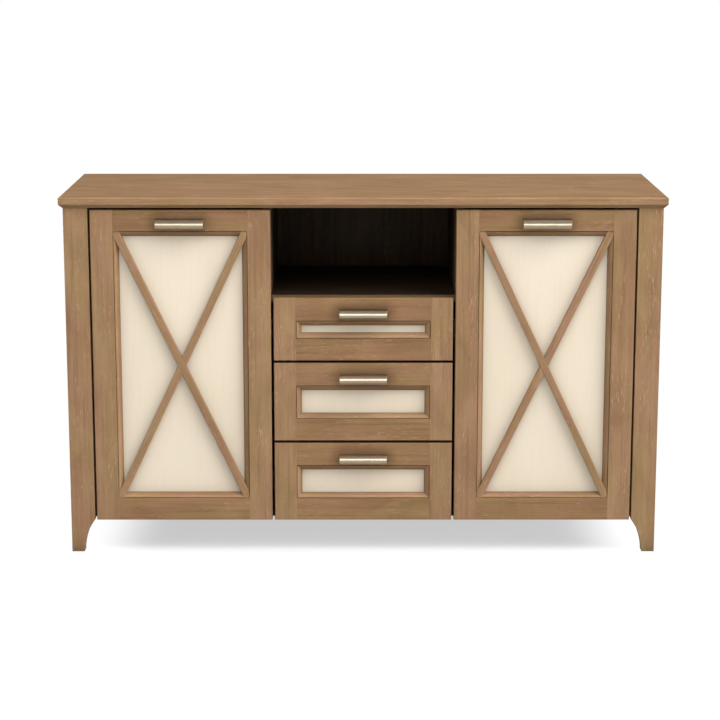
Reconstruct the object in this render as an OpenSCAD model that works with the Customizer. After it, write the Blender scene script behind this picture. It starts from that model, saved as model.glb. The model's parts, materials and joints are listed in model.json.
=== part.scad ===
// A sideboard with two framed doors, three drawers, an open niche and four shaped legs.
// Millimetres, +Z up, the front faces -Y. The origin is on the floor, at the middle of the
// whole object's width and depth, handles included.
// Modules are written with y = 0 at the face of the doors and y growing towards the back;
// seat() moves them to the frame above.

/* [Overall] */
// Width of the top slab, the widest piece
top_w = 1524; // [1400:4:1700]
// Depth of the carcass over the front and back legs
body_d = 494; // [460:2:560]
// Height from the floor to the top surface
height = 922.5; // [880:0.5:1000]

/* [Top] */
// Thickness of the top slab
top_t = 26.5; // [22:0.5:36]
// Overhang of the top past the door faces
top_front_overhang = 12; // [4:1:30]
// Overhang of the top past the back legs
top_back_overhang = 6; // [2:1:20]
// Overhang of the top past the legs at each side
top_side_overhang = 10; // [4:1:30]
// Height of the 45 degree chamfer along the underside
top_chamfer = 9; // [4:0.5:12]
// Radius of the eased upper edge
top_round = 3; // [1:0.5:5]

/* [Legs] */
// Width and depth of each leg
leg_w = 61; // [54:1:76]
// Width of each leg at the floor
foot_w = 32; // [24:1:44]
// Height of the bottom edge of the doors, where the foot's curve starts
base_h = 86; // [70:1:110]
// Radius of the glide under each foot
glide_r = 11; // [8:0.5:12]
// Height of the glide that shows below the leg
glide_h = 1.5; // [1:0.5:3]
// Radius of the nail that holds a glide
glide_pin_r = 1.5; // [1:0.25:2]
// Length of the nail that holds a glide
glide_pin_h = 18; // [12:1:26]

/* [Carcass] */
// Thickness of the carcass boards
board_t = 18; // [16:1:22]
// How far the side panels lie behind the outer faces of the legs
side_recess = 8; // [4:1:14]
// Thickness of the back panel
back_t = 6; // [4:0.5:9]
// Distance from the back of the legs to the back panel
back_recess = 5; // [2:1:12]
// Height of the underside of the bottom panel above the doors' bottom edge
bottom_lift = 4; // [2:1:10]
// Depth of the flat rail that carries the back of the top
rail_d = 60; // [50:2:90]
// Distance from the front of the doors to the front edges of the partitions
edge_set_back = 22; // [21.5:0.5:28]
// Distance from the front of the doors to the front edge of the bottom panel
bottom_set_back = 24; // [24:0.5:30]
// Height of the niche floor that shows above the upper drawer
shelf_reveal = 4; // [3:0.5:8]

/* [Side shelves] */
// Height of the adjustable shelves above the floor
shelf_z = 480; // [400:8:560]
// Gap between an adjustable shelf and what lies beside it
shelf_clear = 1.5; // [1:0.5:4]
// Distance from the front and back of a shelf to its pins
pin_inset = 48; // [34:2:70]
// Spacing of the shelf pin holes
pin_step = 32; // [25:1:40]
// Holes above and below the one in use
pin_spare = 1; // [1:1:3]
// Radius of a shelf pin
pin_r = 2.5; // [2:0.25:3]
// Length of a shelf pin inside its hole
pin_in = 9; // [6:1:12]
// Side of the square tab of a pin, which carries the shelf
pin_tab = 9; // [7:1:14]
// Thickness of the tab of a pin
pin_tab_t = 2; // [1.5:0.5:3]
// Thickness of the plate of a pin, against the board
pin_plate_t = 1; // [0.75:0.25:1.25]

/* [Fronts] */
// Thickness of the doors and drawer fronts
front_t = 20; // [19:0.5:22]
// Width of the drawer fronts
drawer_front_w = 454; // [400:2:500]
// Height of the upper drawer front
upper_front_h = 162; // [156:1:190]
// Height of the middle drawer front
middle_front_h = 203; // [180:1:210]
// Height of the lower drawer front
lower_front_h = 204; // [180:1:210]
// Gap between a leg and a door
leg_gap = 5; // [4.5:0.5:6]
// Gap between a door and the drawer fronts
centre_gap = 6.5; // [4:0.5:9]
// Gap between two drawer fronts
row_gap = 6; // [3:0.5:8]
// Gap above the doors
top_gap = 5.5; // [3:0.5:8]

/* [Framed fronts] */
// Width of the doors' upright frame pieces
stile_w = 57.5; // [52:0.5:70]
// Width of the doors' top frame piece
top_rail_w = 53.5; // [50:0.5:70]
// Width of the doors' bottom frame piece
bottom_rail_w = 58.5; // [50:0.5:70]
// Width of the drawer fronts' upright frame pieces
drawer_stile_w = 56.5; // [50:0.5:66]
// Width of the drawer fronts' top frame piece
drawer_top_rail_w = 58.5; // [54:0.5:62]
// Width of the drawer fronts' bottom frame piece
drawer_bottom_rail_w = 57.5; // [54:0.5:62]
// Depth from the face of a frame to its panel
panel_set_back = 12; // [10:0.5:13]
// Thickness of the panels
panel_t = 4; // [3:0.5:5]
// Depth of the groove that holds a panel and the tenons
groove_d = 8; // [6:0.5:10]
// Gap between a panel's edge and the bottom of its groove
panel_clear = 0.5; // [0.3:0.1:1]
// Glue line between two pieces of wood that are joined
glue = 0.1; // [0.05:0.05:0.2]

/* [Beads] */
// Width of the bead inside each frame
bead_w = 14; // [8:0.5:16]
// Depth of a bead's crest below the face of the frame
bead_drop = 0.5; // [0.25:0.25:3]
// Width of the quirk between the frame and the bead
quirk_w = 1.2; // [0.8:0.1:2]
// Depth of the quirk below the face of the frame
quirk_d = 3; // [2:0.5:6]
// Width of the flat crest of a bead, before it rounds over
bead_crest = 0.5; // [0.5:0.5:4]
// Height of a bead's thin edge above the panel
bead_toe = 1; // [0.5:0.5:4]
// Slope of a bead's round where it starts; where it ends, it is as far short of upright
bead_tilt = 38; // [0:1:42]
// Number of flats that a bead's rounded face is drawn with
bead_flats = 5; // [3:1:12]

/* [Cross bars] */
// Width of the crossed bars on the doors
bar_w = 18; // [12:0.5:24]
// Depth of the bars' faces below the face of the frame
bar_drop = 1; // [0.5:0.25:3]
// Distance of the points that the bars run to from the sides of the opening
bar_inset = 9; // [0:0.5:14]

/* [Handles] */
// Length of a handle
handle_w = 121.5; // [110:0.5:160]
// Height of a handle, which is half round
handle_h = 26; // [18:0.5:28]
// Distance from the face of a front to the front of its handle
handle_proj = 30; // [24:0.5:40]
// Distance from the top of a door down to the middle of its handle
handle_drop = 33; // [28:0.5:36]
// Distance from the top of a drawer front down to the middle of its handle
drawer_handle_drop = 38.5; // [30:0.5:40]
// Distance between the two posts of a handle
post_pitch = 96; // [80:1:100]
// Radius of the posts of a handle
post_r = 5; // [4:0.25:6]
// Radius of the rounded edge at the ends of a handle
handle_round = 1.5; // [0.5:0.25:3]

/* [Hinges] */
// Distance from a door's hinge edge to its pin
pin_x = 9; // [8.5:0.25:9.5]
// Distance from a door's face back to its pin
pin_y = 8; // [7.5:0.25:8]
// Radius of the hinge pin
hinge_pin_r = 2; // [1.75:0.25:2.25]
// Radial clearance of the pin in its bores
pin_fit = 0.05; // [0.03:0.01:0.08]
// Outer radius of the eye round the pin
eye_r = 4; // [3.75:0.25:4.25]
// Clearance of the moving parts of a hinge from the wood and from each other
hinge_clear = 0.3; // [0.3:0.05:0.4]
// Height of the notch for a hinge in the door
notch_h = 44; // [40:1:60]
// Height of the eye and neck of a hinge arm
arm_h = 20; // [16:1:24]
// Thickness of the neck of a hinge arm
neck_t = 5; // [4:0.25:5.5]
// Thickness of the web and the plate of a hinge arm
plate_t = 2; // [1.5:0.25:2.5]
// Distance from the pin back to the web of a hinge arm
web_y = 16.75; // [16.75:0.25:18]
// Length of the mounting plate of a hinge arm
arm_plate_d = 33; // [26:1:36]
// Height of the mounting plate of a hinge arm
arm_plate_h = 44; // [40:1:60]
// Width of the plate on the back of the door
cup_plate_w = 45; // [36:1:48]
// Thickness of the plate on the back of the door
cup_plate_t = 1.5; // [1:0.25:2]
// Wood or steel left past the end of the pin's bore in a cup
ear_floor = 3; // [2:0.5:4]
// Distance from a door's top and bottom edges to its hinges
hinge_inset = 100; // [80:5:160]

/* [Catches] */
// Width of a magnetic catch
catch_w = 14; // [10:1:18]
// Depth of a magnetic catch
catch_d = 24; // [16:1:40]
// Height of a magnetic catch
catch_h = 46; // [30:1:60]
// Distance from a door's top edge to the middle of its catch
catch_drop = 60; // [50:1:90]
// Thickness of the strike plate on the door
strike_t = 1.2; // [0.8:0.1:1.5]
// Gap between the catch and its strike plate when the door is shut
catch_gap = 0.3; // [0.2:0.05:0.5]

/* [Drawers] */
// Length of the drawer boxes and their slides
box_d = 400; // [350:5:420]
// Thickness of the walls of a drawer box
wall_t = 12; // [12:0.5:15]
// Thickness of the bottom of a drawer box
floor_t = 6; // [4:0.5:8]
// Height of a drawer's floor above the lower edge of its box
floor_lift = 10; // [8:1:16]
// Depth of the groove that holds a drawer's floor
floor_groove = 5; // [3:0.5:7]
// How much shorter a drawer box is than its front, above and below alike
box_inset = 30; // [26:1:34]

/* [Drawer slides] */
// Width of a pair of slide members
slide_w = 12.7; // [12:0.1:14]
// Height of the outer slide member
slide_h = 45; // [36:1:50]
// Thickness of the slides' steel
slide_t = 1.5; // [1.2:0.1:1.8]
// Running gap between the slide members
slide_gap = 0.3; // [0.2:0.05:0.4]
// Distance from the web of one member to the lips of the other
slide_lip = 2.5; // [2:0.25:3.5]
// Distance from the ends of a slide to its screws
slide_screw_inset = 40; // [30:2:60]

/* [Screws] */
// Radius of a wood screw
screw_r = 2; // [1.5:0.25:2.25]
// Radius of the small screws of the hinges, slides and back
small_screw_r = 1.5; // [1.25:0.25:1.75]
// Length of a carcass screw
screw_l = 45; // [35:1:50]
// Length of a small screw
small_screw_l = 13; // [10:1:16]
// Distance from the ends of a board to its first screws
screw_inset = 60; // [40:2:90]
// Distance from the ends of a hinge arm's plate to its screws
arm_screw_inset = 9; // [7:0.5:10]
// Distance from the middle of a hinge up and down to the screws of its arm
arm_screw_z = 14; // [12.5:0.5:16]
// Distance from the far edge of a cup's plate to its screws
cup_screw_inset = 12; // [8:0.5:15]
// Distance from the middle of a hinge up and down to the screws of its cup
cup_screw_z = 14; // [8:0.5:16]
// Distance from a drawer's wall in to the screws of its front
front_screw_inset = 14; // [8:1:18]
// Distance from the middle of a drawer front up and down to its screws
front_screw_z = 22; // [14:1:26]
// Radius of the bolts that hold the handles
bolt_r = 2; // [1.75:0.25:2.25]
// Radius of the head of a handle's bolt
bolt_head_r = 4; // [3.5:0.25:4.5]
// Height of the head of a handle's bolt
bolt_head_h = 2.5; // [2:0.25:3]
// Depth of the head of a handle's bolt below the back of the rail
bolt_head_sink = 1; // [0.5:0.25:2]
// Length of a handle's bolt inside its post
bolt_in = 12; // [8:1:14]
// Radial clearance of a screw in its hole
screw_fit = 0.05; // [0.03:0.01:0.1]

/* [Hidden] */

wood_colour = [0.62, 0.49, 0.36];
dark_wood_colour = [0.12, 0.08, 0.05];
panel_colour = [0.93, 0.87, 0.78];
metal_colour = [0.74, 0.70, 0.64];
steel_colour = [0.16, 0.15, 0.14];

$fn = 48;

// Overlap of a cutting shape past the face that it cuts
eps = 1;

// The face of the doors in the part's own frame
total_d = handle_proj + body_d + top_back_overhang;
face_y = handle_proj - total_d / 2;

// The carcass, as half widths and heights
leg_h = height - top_t;
outer_x = top_w / 2 - top_side_overhang;
leg_x = outer_x - leg_w;
door_edge_x = leg_x - leg_gap;
bay_x = drawer_front_w / 2 + centre_gap;
side_x = outer_x - side_recess - board_t;
back_y = body_d - back_recess - back_t;
bottom_z = base_h + bottom_lift;
bottom_top = bottom_z + board_t;

// The fronts
door_w = door_edge_x - bay_x;
door_h = leg_h - top_gap - base_h;
middle_z = base_h + lower_front_h + row_gap;
upper_z = middle_z + middle_front_h + row_gap;
niche_z = upper_z + upper_front_h + shelf_reveal;
door_open = [door_w - 2 * stile_w, door_h - bottom_rail_w - top_rail_w];
hinge_heights = [base_h + hinge_inset, base_h + door_h - hinge_inset];
catch_z = base_h + door_h - catch_drop;
catch_y = front_t + strike_t + catch_gap;

// The foot's inner edge is an arc that meets the floor upright
foot_in = leg_w - foot_w;
foot_r = (foot_in * foot_in + base_h * base_h) / (2 * foot_in);

// The groove that holds a panel, and the drawer boxes
groove_t = panel_t + 2 * glue;
box_x = bay_x - slide_w;
inner_slide_h = slide_h - 2 * slide_t - 2 * slide_gap;

// Shelf pin holes run along Y at two places, between the front and back legs
pin_ys = [leg_w + pin_inset, body_d - leg_w - pin_inset];
pin_zs = [for (i = [-pin_spare:pin_spare]) shelf_z - pin_tab_t - pin_r + i * pin_step];
used_pin_z = shelf_z - pin_tab_t - pin_r;

// Evenly spread places from a to b
function spread(a, b, n) = [for (i = [0:n - 1]) a + (b - a) * i / (n - 1)];

// Places of the screws of the carcass
board_screw_ys = spread(edge_set_back + screw_inset, back_y - screw_inset, 2);
wide_screw_x = leg_x - screw_inset;
partition_mid_x = bay_x + board_t / 2;
back_screws = concat(
    [for (x = [-partition_mid_x, partition_mid_x],
          z = spread(bottom_top + screw_inset, leg_h - board_t - screw_inset, 4)) [x, z]],
    [for (x = spread(-wide_screw_x, wide_screw_x, 5),
          z = [bottom_z + board_t / 2, leg_h - board_t / 2]) [x, z]]
);

// Places of the screws of the hinges
web = pin_y + web_y;
arm_screw_ys = [web + arm_screw_inset, web + arm_plate_d - arm_screw_inset];
cup_screw_x = door_edge_x - cup_plate_w + cup_screw_inset;
hinge_x = door_edge_x - pin_x;

// Placing

module seat() {
    translate([0, face_y, 0]) children();
}

module both_sides() {
    children();
    mirror([1, 0, 0]) children();
}

// side is 1 for the right of the object and -1 for the left
module on_side(side) {
    if (side > 0) children();
    else mirror([1, 0, 0]) children();
}

// A box from its lowest corner to its highest corner
module block(low, high) {
    translate(low) cube(high - low);
}

// A shape drawn in X and Z, and extruded back from y0 to y1
module upright(y0, y1) {
    translate([0, y1, 0]) rotate([90, 0, 0]) linear_extrude(y1 - y0) children();
}

// Screws point down from a head at the origin; a hole is the same shape with its clearance

module screw(r, l, fit = 0) {
    translate([0, 0, -l]) cylinder(r = r + fit, h = l);
    translate([0, 0, -r - fit]) cylinder(r1 = r + fit, r2 = 2 * (r + fit), h = r + fit);
}

module towards_front() {
    rotate([-90, 0, 0]) children();
}

module towards_outside() {
    rotate([0, -90, 0]) children();
}

module towards_inside() {
    rotate([0, 90, 0]) children();
}

module hinge_arm_screws(fit) {
    for (z = hinge_heights, y = arm_screw_ys, dz = [-arm_screw_z, arm_screw_z])
        translate([leg_x - plate_t, y, z + dz])
            towards_outside() screw(small_screw_r, small_screw_l, fit);
}

module shelf_screws(fit) {
    for (y = board_screw_ys)
        translate([bay_x + board_t, y, niche_z - board_t / 2])
            towards_inside() screw(screw_r, screw_l, fit);
}

module bottom_screws(fit) {
    for (y = board_screw_ys)
        translate([partition_mid_x, y, bottom_z])
            rotate([180, 0, 0]) screw(screw_r, screw_l, fit);
}

module rail_screws(fit) {
    for (x = spread(-wide_screw_x, wide_screw_x, 4))
        translate([x, back_y - rail_d / 2, leg_h - board_t])
            rotate([180, 0, 0]) screw(screw_r, board_t + top_t / 2, fit);
}

module back_panel_screws(fit) {
    for (p = back_screws)
        translate([p[0], back_y + back_t, p[1]])
            towards_front() screw(small_screw_r, back_t + small_screw_l, fit);
}

module rail_member_screws(z, fit) {
    for (y = [bottom_set_back + slide_screw_inset, bottom_set_back + box_d - slide_screw_inset])
        translate([bay_x - slide_t, y, z])
            towards_outside() screw(small_screw_r, small_screw_l, fit);
}

// The top slab, chamfered below and eased above along the front and the sides

module edge_profile(l, both_ends) {
    difference() {
        square([l, top_t]);
        edge_cut();
        if (both_ends) translate([l, 0]) mirror([1, 0]) edge_cut();
    }
}

module edge_cut() {
    polygon([[-eps, -eps], [top_chamfer, -eps], [top_chamfer, 0], [0, top_chamfer],
             [-eps, top_chamfer]]);
    difference() {
        translate([-eps, top_t - top_round]) square(top_round + eps);
        translate([top_round, top_t - top_round]) circle(top_round);
    }
}

module top_panel() {
    slab_d = top_front_overhang + body_d + top_back_overhang;
    color(wood_colour) seat() difference() {
        translate([0, 0, leg_h]) intersection() {
            translate([-top_w / 2, body_d + top_back_overhang, 0])
                rotate([90, 0, 0]) linear_extrude(slab_d) edge_profile(top_w, true);
            translate([-top_w / 2, -top_front_overhang, 0])
                rotate([90, 0, 90]) linear_extrude(top_w) edge_profile(slab_d, false);
        }
        rail_screws(screw_fit);
    }
}

// The legs

module leg_profile() {
    difference() {
        square([leg_w, leg_h - glide_h]);
        intersection() {
            translate([foot_w + foot_r, -glide_h]) circle(foot_r, $fn = 96);
            translate([0, -eps]) square([leg_w + eps, base_h - glide_h + eps]);
        }
    }
}

// The leg's outer corner is at the origin, and the leg runs towards +X and +Y
module leg() {
    difference() {
        translate([0, 0, glide_h]) intersection() {
            upright(0, leg_w) leg_profile();
            mirror([1, -1, 0]) upright(0, leg_w) leg_profile();
        }
        translate([foot_w / 2, foot_w / 2, glide_h - eps])
            cylinder(r = glide_pin_r + screw_fit, h = glide_pin_h + eps + screw_fit);
    }
}

module leg_glide() {
    translate([foot_w / 2, foot_w / 2, 0]) {
        cylinder(r = glide_r, h = glide_h);
        cylinder(r = glide_pin_r, h = glide_h + glide_pin_h);
    }
}

module front_corner(side) {
    on_side(side) translate([outer_x, 0, 0]) mirror([1, 0, 0]) children();
}

module back_corner(side) {
    on_side(side) translate([outer_x, body_d, 0]) rotate([0, 0, 180]) children();
}

module front_leg(side) {
    color(wood_colour) seat() difference() {
        front_corner(side) leg();
        on_side(side) hinge_arm_screws(screw_fit);
    }
}

module front_left_leg() { front_leg(-1); }

module front_right_leg() { front_leg(1); }

module back_left_leg() { color(wood_colour) seat() back_corner(-1) leg(); }

module back_right_leg() { color(wood_colour) seat() back_corner(1) leg(); }

module leg_glides() {
    color(dark_wood_colour) seat() for (side = [-1, 1]) {
        front_corner(side) leg_glide();
        back_corner(side) leg_glide();
    }
}

// The boards of the carcass

module pin_holes(face_x, way) {
    for (y = pin_ys, z = pin_zs)
        translate([face_x, y, z]) rotate([0, 90 * way, 0])
            translate([0, 0, -eps]) cylinder(r = pin_r + screw_fit, h = pin_in + eps + screw_fit);
}

module side_panel(side) {
    color(wood_colour) seat() on_side(side) difference() {
        block([side_x, leg_w, base_h], [side_x + board_t, body_d - leg_w, leg_h]);
        pin_holes(side_x, 1);
    }
}

module left_side_panel() { side_panel(-1); }

module right_side_panel() { side_panel(1); }

module bottom_panel() {
    color(dark_wood_colour) seat() difference() {
        translate([0, 0, bottom_z]) linear_extrude(board_t) union() {
            translate([-side_x, leg_w]) square([2 * side_x, body_d - 2 * leg_w]);
            translate([-leg_x, bottom_set_back]) square([2 * leg_x, back_y - bottom_set_back]);
        }
        both_sides() bottom_screws(screw_fit);
        back_panel_screws(screw_fit);
    }
}

module partition(side) {
    color(dark_wood_colour) seat() on_side(side) difference() {
        block([bay_x, edge_set_back, bottom_top], [bay_x + board_t, back_y, leg_h]);
        block([bay_x - eps, back_y - rail_d, leg_h - board_t],
              [bay_x + board_t + eps, back_y + eps, leg_h + eps]);
        pin_holes(bay_x + board_t, -1);
        shelf_screws(screw_fit);
        bottom_screws(screw_fit);
        back_panel_screws(screw_fit);
        for (z = slide_heights) rail_member_screws(z, screw_fit);
    }
}

module left_partition() { partition(-1); }

module right_partition() { partition(1); }

module niche_shelf() {
    color(dark_wood_colour) seat() difference() {
        block([-bay_x, edge_set_back, niche_z - board_t], [bay_x, back_y, niche_z]);
        both_sides() shelf_screws(screw_fit);
    }
}

module back_panel() {
    color(dark_wood_colour) seat() difference() {
        block([-leg_x, back_y, bottom_z], [leg_x, back_y + back_t, leg_h]);
        back_panel_screws(screw_fit);
    }
}

module back_rail() {
    color(dark_wood_colour) seat() difference() {
        block([-leg_x, back_y - rail_d, leg_h - board_t], [leg_x, back_y, leg_h]);
        rail_screws(screw_fit);
        back_panel_screws(screw_fit);
    }
}

module side_shelf(side) {
    color(dark_wood_colour) seat() on_side(side)
        block([bay_x + board_t + shelf_clear, leg_w + shelf_clear, shelf_z],
              [side_x - shelf_clear, body_d - leg_w - shelf_clear, shelf_z + board_t]);
}

module left_shelf() { side_shelf(-1); }

module right_shelf() { side_shelf(1); }

module shelf_pin() {
    tab_corner = [-pin_r - pin_tab_t, -pin_tab / 2, 0];
    translate([0, 0, -pin_in]) cylinder(r = pin_r, h = pin_in + pin_plate_t / 2);
    translate(tab_corner) cube([pin_tab_t, pin_tab, pin_tab]);
    translate(tab_corner) cube([2 * pin_r + pin_tab_t, pin_tab, pin_plate_t]);
}

module shelf_pins() {
    color(steel_colour) seat() both_sides() for (y = pin_ys) {
        translate([side_x, y, used_pin_z]) rotate([0, 90, 0]) mirror([0, 0, 1]) shelf_pin();
        translate([bay_x + board_t, y, used_pin_z]) rotate([0, 90, 0]) shelf_pin();
    }
}

module carcass_screws() {
    color(steel_colour) seat() {
        both_sides() {
            hinge_arm_screws(0);
            shelf_screws(0);
            bottom_screws(0);
            for (z = slide_heights) rail_member_screws(z, 0);
        }
        rail_screws(0);
        back_panel_screws(0);
    }
}

// The hinges. The arm is on the leg, and the cup and the pin are on the door

module hinge_arm() {
    difference() {
        union() {
            translate([hinge_x, pin_y, -arm_h / 2]) cylinder(r = eye_r, h = arm_h);
            block([hinge_x - neck_t / 2, pin_y, -arm_h / 2],
                  [hinge_x + neck_t / 2, web + plate_t, arm_h / 2]);
            block([hinge_x - neck_t / 2, web, -arm_h / 2], [leg_x, web + plate_t, arm_h / 2]);
            block([leg_x - plate_t, web, -arm_plate_h / 2],
                  [leg_x, web + arm_plate_d, arm_plate_h / 2]);
        }
        translate([hinge_x, pin_y, -arm_h / 2 - eps])
            cylinder(r = hinge_pin_r + pin_fit, h = arm_h + 2 * eps);
    }
}

module hinge_arms() {
    color(steel_colour) seat() both_sides() difference() {
        for (z = hinge_heights) translate([0, 0, z]) hinge_arm();
        hinge_arm_screws(screw_fit);
    }
}

module hinge_notch(z) {
    block([hinge_x - eye_r - 2 * hinge_clear, pin_y - eye_r - 2 * hinge_clear, z - notch_h / 2],
          [door_edge_x + eps, front_t + eps, z + notch_h / 2]);
}

// The two ears of a cup, with the plate behind the door, and the pin
module hinge_cup() {
    ear = arm_h / 2 + hinge_clear;
    ear_top = notch_h / 2 - hinge_clear;
    bore_h = ear_top - ear_floor;
    difference() {
        union() {
            for (way = [0, 1]) mirror([0, 0, way])
                block([hinge_x - eye_r - hinge_clear, pin_y - eye_r - hinge_clear, ear],
                      [door_edge_x - hinge_clear, front_t + cup_plate_t, ear_top]);
            block([door_edge_x - cup_plate_w, front_t, -ear_top],
                  [hinge_x - eye_r - hinge_clear, front_t + cup_plate_t, ear_top]);
        }
        translate([hinge_x, pin_y, -bore_h])
            cylinder(r = hinge_pin_r + pin_fit, h = 2 * bore_h);
    }
    translate([hinge_x, pin_y, hinge_clear - bore_h])
        cylinder(r = hinge_pin_r, h = 2 * (bore_h - hinge_clear));
}

module cup_screws(fit) {
    for (z = hinge_heights, dz = [-cup_screw_z, cup_screw_z])
        translate([cup_screw_x, front_t + cup_plate_t, z + dz])
            towards_front() screw(small_screw_r, small_screw_l, fit);
}

module door_hinge_cups(side) {
    color(steel_colour) seat() on_side(side) difference() {
        for (z = hinge_heights) translate([0, 0, z]) hinge_cup();
        cup_screws(screw_fit);
    }
}

// The catches

module door_catches() {
    color(dark_wood_colour) seat() both_sides()
        block([bay_x + board_t, catch_y, catch_z - catch_h / 2],
              [bay_x + board_t + catch_w, catch_y + catch_d, catch_z + catch_h / 2]);
}

module strike_plate() {
    block([bay_x + board_t, front_t, catch_z - catch_h / 2],
          [bay_x + board_t + catch_w, front_t + strike_t, catch_z + catch_h / 2]);
}

module strike_screws(fit) {
    for (dz = [-catch_h / 4, catch_h / 4])
        translate([bay_x + board_t + catch_w / 2, front_t + strike_t, catch_z + dz])
            towards_front() screw(small_screw_r, small_screw_l, fit);
}

// Handles, drawn with their middle on the face of a front at the origin

module handle() {
    bar_r = handle_h / 2;
    difference() {
        union() {
            intersection() {
                translate([-handle_w / 2, bar_r - handle_proj, 0])
                    rotate([0, 90, 0]) round_ended_bar(bar_r);
                block([-handle_w, -handle_proj - eps, -handle_h],
                      [handle_w, bar_r - handle_proj, handle_h]);
            }
            for (x = [-post_pitch / 2, post_pitch / 2])
                rod_towards_back([x, bar_r / 2 - handle_proj, 0], post_r, handle_proj - bar_r / 2);
        }
        for (x = [-post_pitch / 2, post_pitch / 2])
            rod_towards_back([x, -bolt_in - screw_fit, 0], bolt_r + screw_fit,
                             bolt_in + screw_fit + eps);
    }
}

module round_ended_bar(r) {
    rotate_extrude() difference() {
        square([r, handle_w]);
        for (way = [0, 1]) translate([0, way * handle_w]) mirror([0, way])
            translate([r - handle_round, 0]) difference() {
                translate([0, -eps]) square([handle_round + eps, handle_round + eps]);
                translate([0, handle_round]) circle(handle_round);
            }
    }
}

// The two bolts of a handle, from their heads in the back of the rail
module handle_bolts(fit) {
    head_y = front_t - bolt_head_h - bolt_head_sink;
    for (x = [-post_pitch / 2, post_pitch / 2]) {
        rod_towards_back([x, -bolt_in, 0], bolt_r + fit, bolt_in + head_y);
        rod_towards_back([x, head_y, 0], bolt_head_r + fit, bolt_head_h);
    }
}

module rod_towards_back(start, r, l) {
    translate(start) rotate([-90, 0, 0]) cylinder(r = r, h = l);
}

// The holes of a handle's bolts, open at the back of the rail
module bolt_holes() {
    handle_bolts(screw_fit);
    for (x = [-post_pitch / 2, post_pitch / 2])
        rod_towards_back([x, front_t - bolt_head_sink - screw_fit, 0],
                         bolt_head_r + screw_fit, bolt_head_sink + eps);
}

// Framed fronts, drawn with their lower left corner at the origin

// An upright piece of a frame, with its groove towards +X
module stile(w, h) {
    difference() {
        block([0, 0, 0], [w, front_t, h]);
        block([w - groove_d, panel_set_back, -eps], [w + eps, panel_set_back + groove_t, h + eps]);
    }
}

// A level piece of a frame, with its groove towards +Z and a tenon at each end
module rail(l, w) {
    difference() {
        union() {
            block([glue, 0, 0], [l - glue, front_t, w]);
            block([panel_clear - groove_d, panel_set_back + glue, 0],
                  [l + groove_d - panel_clear, panel_set_back + glue + panel_t, w]);
        }
        block([-groove_d - eps, panel_set_back, w - groove_d],
              [l + groove_d + eps, panel_set_back + groove_t, w + eps]);
    }
}

module panel(open) {
    lap = groove_d - panel_clear;
    block([-lap, panel_set_back + glue, -lap],
          [open[0] + lap, panel_set_back + glue + panel_t, open[1] + lap]);
}

// The rounded face of a bead, from its crest to its thin edge, as points of depth and height
function bead_round(grow) = [for (i = [0 : bead_flats]) let (
    turn = bead_tilt + (90 - 2 * bead_tilt) * i / bead_flats,
    whole = cos(bead_tilt) - sin(bead_tilt),
    fall = (cos(bead_tilt) - cos(turn)) / whole,
    run = (sin(turn) - sin(bead_tilt)) / whole
) [
    bead_drop - grow + (panel_set_back - bead_toe - bead_drop) * fall,
    quirk_w + bead_crest + grow + (bead_w - quirk_w - bead_crest) * run
]];

// A bead along the lower side of an opening, mitred at both ends
module bead_strip(l) {
    back = panel_set_back;
    intersection() {
        rotate([90, 0, 90]) linear_extrude(l) polygon(concat(
            [[back, 0], [quirk_d, 0], [quirk_d, quirk_w], [bead_drop, quirk_w]],
            bead_round(0), [[back, bead_w]]
        ));
        upright(0, back + eps) polygon([
            [glue, 0], [l - glue, 0], [l - bead_w - glue, bead_w], [bead_w + glue, bead_w]
        ]);
    }
}

module bead(open) {
    bead_strip(open[0]);
    translate([0, 0, open[1]]) mirror([0, 0, 1]) bead_strip(open[0]);
    mirror([1, 0, -1]) bead_strip(open[1]);
    translate([open[0], 0, 0]) mirror([1, 0, 0]) mirror([1, 0, -1]) bead_strip(open[1]);
}

// A bar across an opening; way is 1 for rising towards +X and -1 for falling
module diagonal(open, way, w) {
    upright(bar_drop, panel_set_back) intersection() {
        square(open);
        translate(open / 2)
            rotate(way * atan((open[1] - 2 * bar_inset) / (open[0] - 2 * bar_inset)))
            square([2 * norm(open), w], center = true);
    }
}

// The falling bar is whole, and the rising one is two halves that meet it
module cross_bars(open) {
    difference() {
        union() {
            diagonal(open, -1, bar_w);
            difference() {
                diagonal(open, 1, bar_w);
                translate([0, -eps, 0]) scale([1, 2, 1]) diagonal(open, -1, bar_w + 2 * glue);
            }
        }
        bead_space(open);
    }
}

// What a cross bar is cut away for: the beads, each a glue line wider
module bead_space(open) {
    for (way = [0, 1]) {
        translate([0, 0, way * open[1]]) mirror([0, 0, way]) bead_cut(open[0]);
        translate([way * open[0], 0, 0]) mirror([way, 0, 0])
            mirror([1, 0, -1]) bead_cut(open[1]);
    }
}

module bead_cut(l) {
    back = panel_set_back + eps;
    rotate([90, 0, 90]) linear_extrude(l) polygon(concat(
        [[back, -eps], [bead_drop - glue, -eps]], bead_round(glue), [[back, bead_w + glue]]
    ));
}

// The doors

module door(side) {
    seat() on_side(side) children();
}

// Places what is drawn from the lower left corner of a door's opening
module door_opening(side) {
    seat() translate([side > 0 ? bay_x + stile_w : stile_w - door_edge_x, 0,
                      base_h + bottom_rail_w]) children();
}

module door_handle_place(side) {
    seat() translate([side * (bay_x + door_w / 2), 0, base_h + door_h - handle_drop]) children();
}

module door_hinge_stile(side) {
    color(wood_colour) difference() {
        door(side) translate([door_edge_x, 0, base_h]) mirror([1, 0, 0]) stile(stile_w, door_h);
        door(side) {
            for (z = hinge_heights) hinge_notch(z);
            cup_screws(screw_fit);
        }
    }
}

module door_latch_stile(side) {
    color(wood_colour) difference() {
        door(side) translate([bay_x, 0, base_h]) stile(stile_w, door_h);
        door(side) strike_screws(screw_fit);
    }
}

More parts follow.
